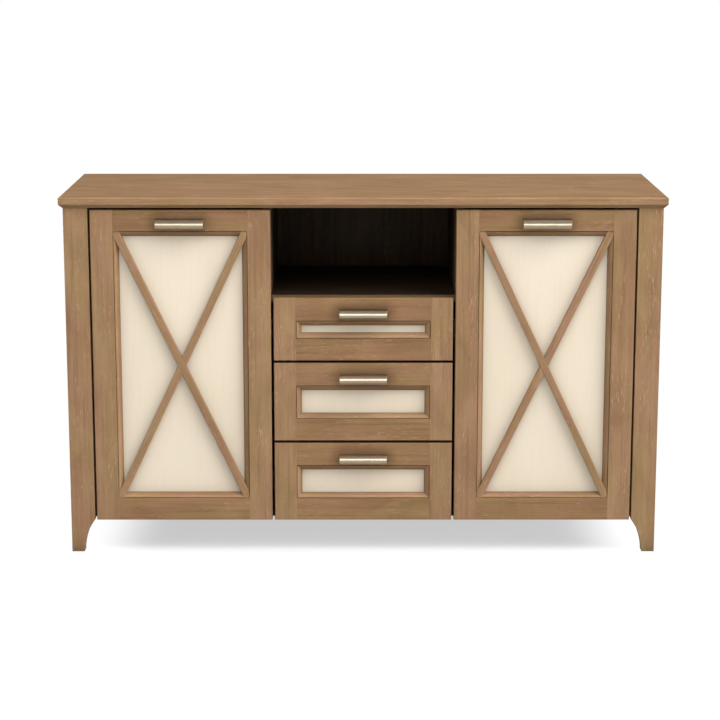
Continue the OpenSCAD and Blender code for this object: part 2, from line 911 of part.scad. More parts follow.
module door_rails(side) {
    color(wood_colour) difference() {
        door_opening(side) {
            translate([0, 0, -bottom_rail_w]) rail(door_open[0], bottom_rail_w);
            translate([0, 0, door_open[1] + top_rail_w])
                mirror([0, 0, 1]) rail(door_open[0], top_rail_w);
        }
        door_handle_place(side) bolt_holes();
    }
}

module door_bead(side) { color(wood_colour) door_opening(side) bead(door_open); }

module door_panel(side) { color(panel_colour) door_opening(side) panel(door_open); }

module door_cross_bars(side) { color(wood_colour) door_opening(side) cross_bars(door_open); }

module door_handle(side) { color(metal_colour) door_handle_place(side) handle(); }

module door_fasteners(side) {
    color(steel_colour) {
        door(side) {
            cup_screws(0);
            strike_screws(0);
            difference() {
                strike_plate();
                strike_screws(screw_fit);
            }
        }
        door_handle_place(side) handle_bolts(0);
    }
}

module left_door_hinge_stile() { door_hinge_stile(-1); }
module left_door_latch_stile() { door_latch_stile(-1); }
module left_door_rails() { door_rails(-1); }
module left_door_bead() { door_bead(-1); }
module left_door_panel() { door_panel(-1); }
module left_door_cross_bars() { door_cross_bars(-1); }
module left_door_handle() { door_handle(-1); }
module left_door_hinge_cups() { door_hinge_cups(-1); }
module left_door_fasteners() { door_fasteners(-1); }

module right_door_hinge_stile() { door_hinge_stile(1); }
module right_door_latch_stile() { door_latch_stile(1); }
module right_door_rails() { door_rails(1); }
module right_door_bead() { door_bead(1); }
module right_door_panel() { door_panel(1); }
module right_door_cross_bars() { door_cross_bars(1); }
module right_door_handle() { door_handle(1); }
module right_door_hinge_cups() { door_hinge_cups(1); }
module right_door_fasteners() { door_fasteners(1); }

// The drawers. Each is a floor height and a front height: lower, middle and upper

lower = [base_h, lower_front_h];
middle = [middle_z, middle_front_h];
upper = [upper_z, upper_front_h];
slide_heights = [for (d = [lower, middle, upper]) d[0] + d[1] / 2];

function drawer_open(d) =
    [drawer_front_w - 2 * drawer_stile_w, d[1] - drawer_bottom_rail_w - drawer_top_rail_w];

module drawer_opening(d) {
    seat() translate([drawer_stile_w - drawer_front_w / 2, 0, d[0] + drawer_bottom_rail_w])
        children();
}

module drawer_handle_place(d) {
    seat() translate([0, 0, d[0] + d[1] - drawer_handle_drop]) children();
}

// The four screws that hold a front, from inside the box
module front_screws(d, fit) {
    screw_x = box_x - wall_t - front_screw_inset;
    for (x = [-screw_x, screw_x], dz = [-front_screw_z, front_screw_z])
        translate([x, front_t + wall_t, d[0] + d[1] / 2 + dz])
            towards_front() screw(screw_r, wall_t + front_t / 2, fit);
}

// The screws that hold the inner slide members on the box
module slide_screws(d, fit) {
    for (y = [bottom_set_back + slide_screw_inset, bottom_set_back + box_d - slide_screw_inset])
        translate([box_x + slide_t, y, d[0] + d[1] / 2])
            towards_inside() screw(small_screw_r, wall_t / 2 + slide_t, fit);
}

module drawer_front_frame(d) {
    open = drawer_open(d);
    color(wood_colour) difference() {
        drawer_opening(d) {
            translate([-drawer_stile_w, 0, -drawer_bottom_rail_w]) stile(drawer_stile_w, d[1]);
            translate([open[0] + drawer_stile_w, 0, -drawer_bottom_rail_w])
                mirror([1, 0, 0]) stile(drawer_stile_w, d[1]);
            translate([0, 0, -drawer_bottom_rail_w]) rail(open[0], drawer_bottom_rail_w);
            translate([0, 0, open[1] + drawer_top_rail_w])
                mirror([0, 0, 1]) rail(open[0], drawer_top_rail_w);
        }
        drawer_handle_place(d) bolt_holes();
        seat() front_screws(d, screw_fit);
    }
}

module drawer_bead(d) { color(wood_colour) drawer_opening(d) bead(drawer_open(d)); }

module drawer_panel(d) { color(panel_colour) drawer_opening(d) panel(drawer_open(d)); }

module drawer_handle(d) { color(metal_colour) drawer_handle_place(d) handle(); }

// A box's walls and floor, glued round a floor that lies in grooves
module drawer_box(d) {
    z0 = d[0] + box_inset;
    z1 = d[0] + d[1] - box_inset;
    y0 = front_t;
    y1 = front_t + box_d;
    in_x = box_x - wall_t;
    groove_x = in_x + floor_groove;
    floor_z = z0 + floor_lift;
    color(dark_wood_colour) seat() {
        difference() {
            union() {
                both_sides() block([in_x, y0, z0], [box_x, y1, z1]);
                block([glue - in_x, y0, z0], [in_x - glue, y0 + wall_t, z1]);
                block([glue - in_x, y1 - wall_t, z0], [in_x - glue, y1, z1]);
            }
            block([-groove_x, y0 + wall_t - floor_groove, floor_z],
                  [groove_x, y1 - wall_t + floor_groove, floor_z + floor_t]);
            front_screws(d, screw_fit);
            both_sides() slide_screws(d, screw_fit);
        }
        block([glue - groove_x, y0 + wall_t - floor_groove + glue, floor_z + glue],
              [groove_x - glue, y1 - wall_t + floor_groove - glue, floor_z + floor_t - glue]);
    }
}

// A channel with its web at x = 0 and its flanges towards +X
module channel(w, h) {
    difference() {
        block([0, 0, -h / 2], [w, box_d, h / 2]);
        block([slide_t, -eps, slide_t - h / 2], [w + eps, box_d + eps, h / 2 - slide_t]);
    }
}

module slide_rail() {
    translate([bay_x, bottom_set_back, 0])
        mirror([1, 0, 0]) channel(slide_w - slide_lip, slide_h);
}

module drawer_slide_rails() {
    color(steel_colour) seat() both_sides() for (z = slide_heights) difference() {
        translate([0, 0, z]) slide_rail();
        rail_member_screws(z, screw_fit);
    }
}

module drawer_slides(d) {
    color(steel_colour) seat() both_sides() difference() {
        translate([box_x, bottom_set_back, d[0] + d[1] / 2])
            channel(slide_w - slide_lip, inner_slide_h);
        slide_screws(d, screw_fit);
    }
}

module drawer_screws(d) {
    color(steel_colour) {
        seat() {
            front_screws(d, 0);
            both_sides() slide_screws(d, 0);
        }
        drawer_handle_place(d) handle_bolts(0);
    }
}

module upper_drawer_front_frame() { drawer_front_frame(upper); }
module upper_drawer_bead() { drawer_bead(upper); }
module upper_drawer_panel() { drawer_panel(upper); }
module upper_drawer_box() { drawer_box(upper); }
module upper_drawer_handle() { drawer_handle(upper); }
module upper_drawer_slides() { drawer_slides(upper); }
module upper_drawer_screws() { drawer_screws(upper); }

module middle_drawer_front_frame() { drawer_front_frame(middle); }
module middle_drawer_bead() { drawer_bead(middle); }
module middle_drawer_panel() { drawer_panel(middle); }
module middle_drawer_box() { drawer_box(middle); }
module middle_drawer_handle() { drawer_handle(middle); }
module middle_drawer_slides() { drawer_slides(middle); }
module middle_drawer_screws() { drawer_screws(middle); }

module lower_drawer_front_frame() { drawer_front_frame(lower); }
module lower_drawer_bead() { drawer_bead(lower); }
module lower_drawer_panel() { drawer_panel(lower); }
module lower_drawer_box() { drawer_box(lower); }
module lower_drawer_handle() { drawer_handle(lower); }
module lower_drawer_slides() { drawer_slides(lower); }
module lower_drawer_screws() { drawer_screws(lower); }

top_panel();
front_left_leg();
front_right_leg();
back_left_leg();
back_right_leg();
left_side_panel();
right_side_panel();
bottom_panel();
left_partition();
right_partition();
niche_shelf();
back_panel();
back_rail();
left_shelf();
right_shelf();
shelf_pins();
leg_glides();
hinge_arms();
carcass_screws();
drawer_slide_rails();
door_catches();
left_door_hinge_stile();
left_door_latch_stile();
left_door_rails();
left_door_bead();
left_door_panel();
left_door_cross_bars();
left_door_handle();
left_door_hinge_cups();
left_door_fasteners();
right_door_hinge_stile();
right_door_latch_stile();
right_door_rails();
right_door_bead();
right_door_panel();
right_door_cross_bars();
right_door_handle();
right_door_hinge_cups();
right_door_fasteners();
upper_drawer_front_frame();
upper_drawer_bead();
upper_drawer_panel();
upper_drawer_box();
upper_drawer_handle();
upper_drawer_slides();
upper_drawer_screws();
middle_drawer_front_frame();
middle_drawer_bead();
middle_drawer_panel();
middle_drawer_box();
middle_drawer_handle();
middle_drawer_slides();
middle_drawer_screws();
lower_drawer_front_frame();
lower_drawer_bead();
lower_drawer_panel();
lower_drawer_box();
lower_drawer_handle();
lower_drawer_slides();
lower_drawer_screws();
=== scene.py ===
# %% [markdown]
# A SIDEBOARD IN STAINED WOOD
# The joiner's model is already drawn at its real size: the boards, the hinges, the slides and
# the screws. This lesson gives it its looks. The boards that show are made again with rounded
# edges and a grain that runs along each plank, and every other part gets a finish of its own.
# All lengths are metres, the front faces -Y and the floor is at Z = 0.

# %% Load the joiner's model
import itertools
import json
import math

import bpy
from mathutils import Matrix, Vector

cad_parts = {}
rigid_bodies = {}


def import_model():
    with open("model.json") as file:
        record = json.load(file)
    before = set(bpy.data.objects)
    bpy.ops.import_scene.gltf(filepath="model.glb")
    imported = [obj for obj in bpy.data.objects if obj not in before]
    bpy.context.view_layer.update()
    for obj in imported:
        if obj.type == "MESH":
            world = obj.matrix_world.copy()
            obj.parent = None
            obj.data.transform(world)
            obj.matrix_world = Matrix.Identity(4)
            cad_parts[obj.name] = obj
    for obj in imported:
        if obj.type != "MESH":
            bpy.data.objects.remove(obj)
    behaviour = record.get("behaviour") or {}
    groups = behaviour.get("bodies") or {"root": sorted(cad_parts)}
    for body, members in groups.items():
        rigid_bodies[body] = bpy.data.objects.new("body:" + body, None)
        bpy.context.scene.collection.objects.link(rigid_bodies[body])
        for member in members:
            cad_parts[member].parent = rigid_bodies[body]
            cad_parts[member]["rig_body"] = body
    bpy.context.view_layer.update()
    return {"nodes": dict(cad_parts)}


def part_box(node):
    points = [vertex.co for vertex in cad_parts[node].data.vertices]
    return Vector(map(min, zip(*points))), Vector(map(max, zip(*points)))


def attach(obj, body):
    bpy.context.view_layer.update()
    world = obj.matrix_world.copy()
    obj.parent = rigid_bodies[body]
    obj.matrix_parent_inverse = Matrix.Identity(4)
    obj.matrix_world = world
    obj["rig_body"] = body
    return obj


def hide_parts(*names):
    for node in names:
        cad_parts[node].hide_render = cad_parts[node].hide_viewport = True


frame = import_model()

MM = 0.001
TINY = 0.05 * MM
scene = bpy.context.scene
face_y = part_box("left_door_latch_stile")[0].y
print(len(frame["nodes"]), "nodes; the doors' faces are at y =", round(face_y, 4))

# %% [markdown]
# THE CAMERA
# The picture was taken with a long lens from straight ahead and a little above, so the top shows
# as a thin band and the sides not at all. The camera could be aimed by eye, but its height,
# distance and tilt follow from how the edges of the top and of the legs run together, and a
# camera worked out that way puts every edge where it belongs.

# %% Aim the camera
CAMERA_PLACE = (-0.0132, -5.4367, 1.5938)
CAMERA_TILT = math.radians(11.80)
CAMERA_TURN = math.radians(0.03)
LENS_MM = 104.68
FRAME_SHIFT = 0.0013

lens = bpy.data.cameras.new("long_lens")
lens.lens = LENS_MM
lens.sensor_width = 36
lens.shift_x = FRAME_SHIFT
camera = bpy.data.objects.new("camera", lens)
camera.location = CAMERA_PLACE
camera.rotation_euler = (math.pi / 2 - CAMERA_TILT, 0, -CAMERA_TURN)
scene.collection.objects.link(camera)
scene.camera = camera
scene.view_settings.view_transform = "Standard"
print("camera", round(-CAMERA_PLACE[1] + face_y, 2), "m in front of the doors")

# %% [markdown]
# A SMALL TOOL FOR MATERIALS
# A material is a little network of nodes. It could be clicked together, but the same steps come
# back in each one, so one short function adds a node, sets its options and links its inputs.

# %% Helpers that build a material
def add(tree, kind, inputs=None, **options):
    """Adds a shader node. A socket given as an input is linked, and a plain value is set."""
    node = tree.nodes.new(kind)
    for name, value in options.items():
        setattr(node, name, value)
    for name, value in (inputs or {}).items():
        if isinstance(value, bpy.types.NodeSocket):
            tree.links.new(value, node.inputs[name])
        else:
            node.inputs[name].default_value = value
    return node


def tone(red, green, blue):
    """A colour as it shows on a screen, from 0 to 255, made linear for the shader."""
    parts = [c / 255 for c in (red, green, blue)]
    linear = [c / 12.92 if c <= 0.04045 else ((c + 0.055) / 1.055) ** 2.4 for c in parts]
    return (*linear, 1.0)


def new_material(name):
    material = bpy.data.materials.new(name)
    material.use_nodes = True
    material.node_tree.nodes.clear()
    return material, material.node_tree


def noise(tree, place, stretch, detail=2.0, roughness=0.5, distortion=0.0):
    """Cloudy noise with its own scale along each of the three directions, in cycles a metre."""
    scaled = add(tree, "ShaderNodeVectorMath", {0: place, 1: stretch}, operation="MULTIPLY")
    cloud = add(tree, "ShaderNodeTexNoise",
                {"Vector": scaled.outputs[0], "Scale": 1.0, "Detail": detail,
                 "Roughness": roughness, "Distortion": distortion})
    return cloud.outputs["Fac"]


def between(tree, value, low, high, to_low=0.0, to_high=1.0):
    """Spreads the part of a value from low to high over a new range, with soft ends."""
    spread = add(tree, "ShaderNodeMapRange",
                 {"Value": value, "From Min": low, "From Max": high,
                  "To Min": to_low, "To Max": to_high}, interpolation_type="SMOOTHSTEP")
    return spread.outputs["Result"]


def math_node(tree, operation, first, second):
    return add(tree, "ShaderNodeMath", {0: first, 1: second}, operation=operation).outputs[0]


def blend(tree, amount, first, second):
    """Mixes two colours by an amount from 0 to 1."""
    mixed = add(tree, "ShaderNodeMix", {"Factor": amount}, data_type="RGBA")
    for socket, value in ((mixed.inputs[6], first), (mixed.inputs[7], second)):
        if isinstance(value, bpy.types.NodeSocket):
            tree.links.new(value, socket)
        else:
            socket.default_value = value
    return mixed.outputs[2]


print("a screen's middle grey is", round(tone(128, 128, 128)[0], 3), "as a colour of a material")


# %% Helpers that end a material, and that read a place or a note
def close_material(tree, height, depth, **inputs):
    """Ends a material with its bump and its main shader."""
    bump = add(tree, "ShaderNodeBump", {"Height": height, "Distance": depth})
    shader = add(tree, "ShaderNodeBsdfPrincipled", {"Normal": bump.outputs[0], **inputs})
    add(tree, "ShaderNodeOutputMaterial", {"Surface": shader.outputs[0]})


def attribute(tree, name, output="Vector"):
    """What a piece notes at each of its corners or faces."""
    return add(tree, "ShaderNodeAttribute", attribute_name=name).outputs[output]


def object_place(tree):
    """The place of each point in its own piece, in metres."""
    return add(tree, "ShaderNodeTexCoord").outputs["Object"]


def axes_of(tree, vector):
    return add(tree, "ShaderNodeSeparateXYZ", {0: vector}).outputs


def painted_shade_at(tree, gap, thickest):
    """How much shade is painted at a gap: most at a gap of 0, and e times less at -1."""
    return math_node(tree, "MULTIPLY", math_node(tree, "EXPONENT", gap, 0.0), thickest)


def seen_directly(tree):
    """1 for the rays from the camera, from gloss and through glass, and 0 for scattered light."""
    path = add(tree, "ShaderNodeLightPath").outputs
    clear = math_node(tree, "MAXIMUM", path["Is Glossy Ray"], path["Is Transmission Ray"])
    return math_node(tree, "MAXIMUM", path["Is Camera Ray"], clear)


# Painted shade is e times weaker one reach away from its corner.
print("a wiped film is e times thinner one reach away from its corner")

# %% [markdown]
# THE STAINED WOOD
# The wood is a light brown with a fine straight grain, in which patches of tan and of a pinker
# brown lie side by side. Its open pores hold a pale filler, which shows as short light flecks in
# loose clusters. Shade is painted into its colour: darker in the corners and recesses, on the
# feet towards the floor, and round the handles as a painted shadow. A picture of wood could be
# wrapped round each board, but its seams would show at the edges. A solid pattern that fills the
# whole plank, stretched along it, shows long lines on the faces and small dots on the ends, as
# real wood does. The boards of the frames carry the place of each corner in its own plank in an
# attribute named grain. The dark boards inside have the same recipe in other tones. Those beside
# the niche get the lighter stain of the fronts along their front edges, and on the niche's walls
# that lighter tone fades inwards from the front as a painted light.

# %% List what the wood is made of
# Each noise: its cycles a metre along, across and through the plank, detail, roughness, distortion.
WOOD_NOISES = {
    "patches": ((5, 26, 26), 3.0, 0.55, 0.4),
    "clouds": ((7, 16, 16), 2.0, 0.5, 0.6),
    "lines": ((4.5, 130, 130), 3.0, 0.55),
    "rings": ((0.9, 48, 48), 1.0, 0.4, 0.35),
    "fibres": ((26, 1100, 1100), 2.0, 0.6),
    "clusters": ((8, 42, 42), 2.0),
    "flecks": ((46, 360, 360), 2.0, 0.55),
    "pores": ((60, 900, 900), 1.0),
}
RING_FOLDS = 9
# Each layer: its noise, where it sets in, where it is full, how strong it is then, and its tone.
WOOD_LAYERS = (
    ("patches", 0.40, 0.60, 1.00, "pink"),
    ("clouds", 0.48, 0.70, 0.30, "dark"),
    ("clouds", 0.50, 0.30, 0.22, "pale"),
    ("lines", 0.52, 0.72, 0.38, "dark"),
    ("lines", 0.50, 0.30, 0.20, "pale"),
    ("rings", 0.34, 0.50, 0.12, "dark"),
    ("fibres", 0.45, 0.70, 0.16, "dark"),
)
OAK_TONES = {"tan": tone(166, 134, 95), "pink": tone(167, 128, 97), "dark": tone(128, 97, 66),
             "pale": tone(196, 160, 122)}
BLACK_TONES = {"tan": tone(40, 32, 24), "pink": tone(45, 33, 23), "dark": tone(24, 18, 12),
               "pale": tone(58, 47, 36)}
print(len(WOOD_LAYERS), "layers of stain and grain from", len(WOOD_NOISES), "noises")

# %% Helpers that paint shade into a board, round its handles and in its corners
# Painted shade: darker towards this tone round each handle, as its shadow, and in corners.
PAINTED_SHADE_TONE = tone(62, 42, 26)
HANDLE_PAINTED_SHADOW = 0.42
HANDLE_HALF = 52 * MM
HANDLE_SHADOW_REACH = (8 * MM, 46 * MM)
CORNER_PAINTED_SHADE = 0.50
CORNER_SHADE_REACH = 0.22
# The lighter front edge: an edge strip on the niche's floor, and painted light on its walls.
LIPPING_AND_LIGHT = 0.85
LIPPING_AND_LIGHT_VALUE = 7
LIPPING_AND_LIGHT_TONE = tone(112, 91, 58)
# Rounded edges get paler: partly wear, partly a painted highlight.
RUBBED_AND_HIGHLIT = (0.05, 0.3)


def plank_place(tree, source):
    """Where a point lies in its plank: along, across and through. The source is the attribute
    grain, or the letter of the axis along which the grain of a whole part runs."""
    if source == "grain":
        return attribute(tree, "grain")
    turn = {"x": (0, 0, 0), "y": (0, 0, -math.pi / 2), "z": (0, math.pi / 2, 0)}[source]
    return add(tree, "ShaderNodeMapping",
               {"Vector": object_place(tree), "Rotation": turn}).outputs[0]


def painted_handle_shadow(tree, colour):
    """Paints a handle's shadow into the wood round it, from the place of each point beside its
    middle.
    """
    place = axes_of(tree, attribute(tree, "from_handle"))
    sideways = math_node(tree, "ABSOLUTE", place["X"], 0.0)
    past_end = math_node(tree, "MAXIMUM", math_node(tree, "SUBTRACT", sideways, HANDLE_HALF), 0.0)
    gap = add(tree, "ShaderNodeCombineXYZ", {"X": past_end, "Z": place["Z"]}).outputs[0]
    away = add(tree, "ShaderNodeVectorMath", {0: gap}, operation="LENGTH").outputs["Value"]
    return blend(tree, between(tree, away, *HANDLE_SHADOW_REACH, HANDLE_PAINTED_SHADOW, 0.0), colour, PAINTED_SHADE_TONE)


def painted_corner_shade(tree, colour):
    """Paints shade into the wood in corners and recesses: where the note corner is near 1."""
    near = axes_of(tree, attribute(tree, "corner"))["X"]
    away = math_node(tree, "DIVIDE", math_node(tree, "SUBTRACT", near, 1.0), CORNER_SHADE_REACH)
    return blend(tree, painted_shade_at(tree, away, CORNER_PAINTED_SHADE), colour, PAINTED_SHADE_TONE)


def lipped_and_painted_light(tree, colour, front, reach):
    """Lightens a dark board from its front edge back to reach: an edge strip when short, painted
    light when deep.
    """
    depth = axes_of(tree, object_place(tree))["Y"]
    bright = add(tree, "ShaderNodeHueSaturation", {"Color": colour, "Value": LIPPING_AND_LIGHT_VALUE})
    strip = blend(tree, 0.5, bright.outputs[0], LIPPING_AND_LIGHT_TONE)
    return blend(tree, between(tree, depth, front, front + reach, LIPPING_AND_LIGHT, 0.0), colour, strip)


def as_noted(tree, colour, clusters, pale):
    """Follows a board's notes: edges paled by wear and a painted highlight, its own stain,
    and painted shade round its handle and in its corners.
    """
    rubbed_and_highlit = math_node(tree, "MULTIPLY", attribute(tree, "arris", "Fac"),
                       between(tree, clusters, 0.35, 0.6, *RUBBED_AND_HIGHLIT))
    colour = blend(tree, rubbed_and_highlit, colour, pale)
    stain = attribute(tree, "stain", "Fac")
    richer = between(tree, stain, 1.0, 0.8, 1.0, 1.07)
    colour = add(tree, "ShaderNodeHueSaturation",
                 {"Color": colour, "Value": stain, "Saturation": richer}).outputs[0]
    return painted_corner_shade(tree, painted_handle_shadow(tree, colour))


print("the wood is darker up to", round(HANDLE_SHADOW_REACH[1] / MM), "mm round a handle")

# %% Mix the wood
FILLER = 0.75
OPEN_PORES = 0.35
WOOD_BUMP = 0.12 * MM
OAK_SHEEN = (0.62, 0.14)
BLACK_SHEEN = (0.6, 0.05)
SHELF_LIPPING = 0.6 * MM
# On the niche's walls the lighter tone fades in over this depth: a painted light.
WALL_PAINTED_LIGHT = 200 * MM


def wood(name, source, tones, sheen, lipping_and_light=None):
    """A stained wood of four tones. The sheen is its roughness and its gloss."""
    material, tree = new_material(name)
    place = plank_place(tree, source)
    cloud = {kind: noise(tree, place, *settings) for kind, settings in WOOD_NOISES.items()}
    folded = math_node(tree, "MULTIPLY", cloud["rings"], RING_FOLDS)
    cloud["rings"] = math_node(tree, "PINGPONG", folded, 0.5)

    colour = tones["tan"]
    for kind, start, full, strength, shade in WOOD_LAYERS:
        amount = between(tree, cloud[kind], start, full, 0.0, strength)
        colour = blend(tree, amount, colour, tones[shade])
    filled = math_node(tree, "MULTIPLY", between(tree, cloud["clusters"], 0.45, 0.62),
                       between(tree, cloud["flecks"], 0.585, 0.675))
    colour = blend(tree, math_node(tree, "MULTIPLY", filled, FILLER), colour, tones["pale"])
    open_pores = between(tree, cloud["pores"], 0.60, 0.72, 0.0, OPEN_PORES)
    colour = blend(tree, open_pores, colour, tones["dark"])
    if source == "grain":
        colour = as_noted(tree, colour, cloud["clusters"], tones["pale"])
    # A lighter front edge: a strip on the shelf, and painted light on the niche's walls.
    if lipping_and_light is not None:
        colour = lipped_and_painted_light(tree, colour, *lipping_and_light)

    height = math_node(tree, "MULTIPLY", cloud["fibres"], 0.5)
    height = math_node(tree, "SUBTRACT", height, open_pores)
    height = math_node(tree, "ADD", height, math_node(tree, "MULTIPLY", cloud["lines"], 0.6))
    roughness, gloss = sheen
    close_material(tree, height, WOOD_BUMP, **{
        "Base Color": colour, "Specular IOR Level": gloss,
        "Roughness": between(tree, cloud["lines"], 0.3, 0.7, roughness - 0.07, roughness + 0.09)})
    return material


oak = wood("stained_wood", "grain", OAK_TONES, OAK_SHEEN)
oak_upright = wood("stained_wood_upright", "z", OAK_TONES, OAK_SHEEN)
black = wood("black_brown_wood", "grain", BLACK_TONES, BLACK_SHEEN)
black_by_axis = {axis: wood("black_brown_wood_" + axis, axis, BLACK_TONES, BLACK_SHEEN)
                 for axis in "xyz"}
lipped_and_lit_black = {}
for node, axis, reach in (("niche_shelf", "x", SHELF_LIPPING), ("left_partition", "z", WALL_PAINTED_LIGHT)):
    front = min(vertex.co.y for vertex in frame["nodes"][node].data.vertices)
    lipped_and_lit_black[axis] = wood("black_brown_wood_lipped_and_lit_" + axis, axis, BLACK_TONES, BLACK_SHEEN,
                              (front, reach))
print("woods:", oak.name, oak_upright.name, black.name, *(m.name for m in lipped_and_lit_black.values()))

# %% [markdown]
# PAINT, METAL AND PLASTIC
# The panels are smooth boards with a satin cream paint, put on with a small roller: up close its
# skin is very slightly pebbled and its colour drifts by a hair. Shade is painted into it: it gets
# a little darker towards the frame and the bars, as their shadow.
# The handles are nickel, brushed along their length, and the fittings inside are blackened
# steel. One recipe with a stretched noise does for both, because only the colour and the length
# of the scratches differ. Each tone is given as it would show on a screen.

# %% Mix the paint
# Painted shade: the paint darkens towards this tone near the frame and the bars.
PANEL_PAINTED_SHADE = 0.30
PANEL_SHADE_REACH = 15 * MM
PANEL_SHADE_TONE = tone(120, 108, 94)
BAR_W = 18 * MM
PAINT_BUMP = 0.05 * MM
PAINT_GLOSS = 0.35


def painted_panel_shade(tree, colour):
    """Paints shade into the paint towards the frame and the bars."""
    left = None
    for name in ("from_sides", "from_ends"):
        parts = axes_of(tree, attribute(tree, name))
        for axis, start in (("X", 0.0), ("Y", 0.0), ("Z", BAR_W / 2)):
            gap = math_node(tree, "SUBTRACT", math_node(tree, "ABSOLUTE", parts[axis], 0.0), start)
            shade_amount = painted_shade_at(tree, math_node(tree, "DIVIDE", gap, -PANEL_SHADE_REACH), PANEL_PAINTED_SHADE)
            clear = math_node(tree, "SUBTRACT", 1.0, shade_amount)
            left = clear if left is None else math_node(tree, "MULTIPLY", left, clear)
    return blend(tree, left, PANEL_SHADE_TONE, colour)


def paint(name, colour, shade):
    """A satin paint whose strokes run along Z."""
    material, tree = new_material(name)
    place = object_place(tree)
    drift = noise(tree, place, (5, 5, 3))
    skin = noise(tree, place, (520, 520, 520))
    strokes = noise(tree, place, (240, 240, 12), 3.0)
    tint = blend(tree, between(tree, drift, 0.35, 0.65, 0.0, 0.55), colour, shade)
    tint = blend(tree, between(tree, strokes, 0.45, 0.7, 0.0, 0.25), tint, shade)
    height = math_node(tree, "ADD", skin, math_node(tree, "MULTIPLY", strokes, 0.6))
    close_material(tree, height, PAINT_BUMP, **{
        "Base Color": painted_panel_shade(tree, tint), "Roughness": between(tree, strokes, 0.3, 0.7, 0.44, 0.56),
        "Specular IOR Level": PAINT_GLOSS})
    return material


cream = paint("cream_paint", tone(249, 235, 212), tone(241, 225, 200))
print("paint:", cream.name)

# %% Mix the metals and the plastic
METAL_BUMP = 0.02 * MM
PLASTIC_BUMP = 0.03 * MM
BRUSHED = (9, 1500, 1500)
UNBRUSHED = (60, 60, 60)


def metal(name, colour, dull, stretch, roughness):
    """A plated metal. The stretch has few cycles a metre along the scratches, and many across."""
    material, tree = new_material(name)
    place = object_place(tree)
    scratches = noise(tree, place, stretch, 3.0, 0.7)
    clouds = noise(tree, place, (30, 30, 30))
    close_material(tree, scratches, METAL_BUMP, **{
        "Base Color": blend(tree, between(tree, clouds, 0.3, 0.7, 0.0, 0.5), colour, dull),
        "Metallic": 1.0,
        "Roughness": between(tree, scratches, 0.3, 0.7, roughness - 0.06, roughness + 0.08)})
    return material


def plastic(name, colour, shade):
    material, tree = new_material(name)
    place = object_place(tree)
    clouds = noise(tree, place, (80, 80, 80))
    close_material(tree, noise(tree, place, (1500, 1500, 1500)), PLASTIC_BUMP, **{
        "Base Color": blend(tree, clouds, colour, shade),
        "Roughness": between(tree, clouds, 0.3, 0.7, 0.45, 0.6)})
    return material


nickel = metal("brushed_nickel", tone(160, 147, 129), tone(152, 139, 121), BRUSHED, 0.3)
dark_steel = metal("blackened_steel", tone(54, 48, 42), tone(42, 38, 33), UNBRUSHED, 0.5)
black_plastic = plastic("black_plastic", tone(34, 31, 30), tone(48, 45, 43))
print("metals and plastic:", nickel.name, dark_steel.name, black_plastic.name)

# %% [markdown]
# THE BENCH: SAWING, ROUNDING AND CUTTING
# Each board starts as a squared blank. It could be left square, but a real edge is never sharp:
# it is rounded or at least broken with sandpaper, and the thin light line that it gives tells
# the eye that this is wood. These helpers do by script what hands do in edit mode: choose edges
# or faces by their place, then bevel, inset, bisect or cut.

# %% Helpers that choose, and that add a blank
ROUND_SIDES = 48


def work_on(piece):
    """Makes one piece the only one selected, and the active one."""
    bpy.ops.object.select_all(action="DESELECT")
    piece.select_set(True)
    bpy.context.view_layer.objects.active = piece


def choose(piece, edges=None, faces=None):
    """Opens a piece in edit mode with the edges or the faces selected that a test picks."""
    mesh = piece.data
    for part in (mesh.vertices, mesh.edges, mesh.polygons):
        part.foreach_set("select", [False] * len(part))
    bpy.context.tool_settings.mesh_select_mode = (False, edges is not None, faces is not None)
    picked = []
    if edges:
        for edge in mesh.edges:
            start, end = (mesh.vertices[i].co for i in edge.vertices)
            if edges((start + end) / 2, (end - start).normalized()):
                picked.append(edge)
    if faces:
        picked += [face for face in mesh.polygons if faces(face.center, face.normal)]
    for part in picked:
        part.select = True
        for i in part.vertices:
            mesh.vertices[i].select = True
    work_on(piece)
    bpy.ops.object.mode_set(mode="EDIT")


def settled():
    """The piece just added, with its place, turn and size written into its mesh."""
    bpy.ops.object.transform_apply(location=True, rotation=True, scale=True)
    return bpy.context.active_object


def block(low, high):
    """A squared blank between two corners."""
    low, high = Vector(low), Vector(high)
    bpy.ops.object.select_all(action="DESELECT")
    bpy.ops.mesh.primitive_cube_add(size=1, location=(low + high) / 2, scale=high - low)
    return settled()


def rod(start, end, radius, sides=ROUND_SIDES):
    """A round blank from one point to another."""
    start, end = Vector(start), Vector(end)
    turn = (end - start).to_track_quat("Z", "Y").to_euler()
    bpy.ops.object.select_all(action="DESELECT")
    bpy.ops.mesh.primitive_cylinder_add(vertices=sides, radius=radius, depth=(end - start).length,
                                        location=(start + end) / 2, rotation=turn)
    return settled()


print("a rod has", ROUND_SIDES, "sides where nothing else is asked")

# %% Helpers that saw, round, cut and join
SHARP = math.radians(32)


def leave_closed():
    """Turns every face outwards and leaves edit mode."""
    bpy.ops.mesh.select_all(action="SELECT")
    bpy.ops.mesh.normals_make_consistent(inside=False)
    bpy.ops.object.mode_set(mode="OBJECT")


def saw(piece, point, normal):
    """Cuts off what lies past a plane, on the side its normal points to, and closes the cut."""
    work_on(piece)
    bpy.ops.object.mode_set(mode="EDIT")
    bpy.ops.mesh.select_all(action="SELECT")
    bpy.ops.mesh.bisect(plane_co=point, plane_no=normal, use_fill=True, clear_outer=True)
    leave_closed()


def soften(piece, radius, edges, segments=4):
    """Rounds the edges that a test picks."""
    choose(piece, edges=edges)
    bpy.ops.mesh.bevel(offset=radius, segments=segments, affect="EDGES")
    bpy.ops.object.mode_set(mode="OBJECT")


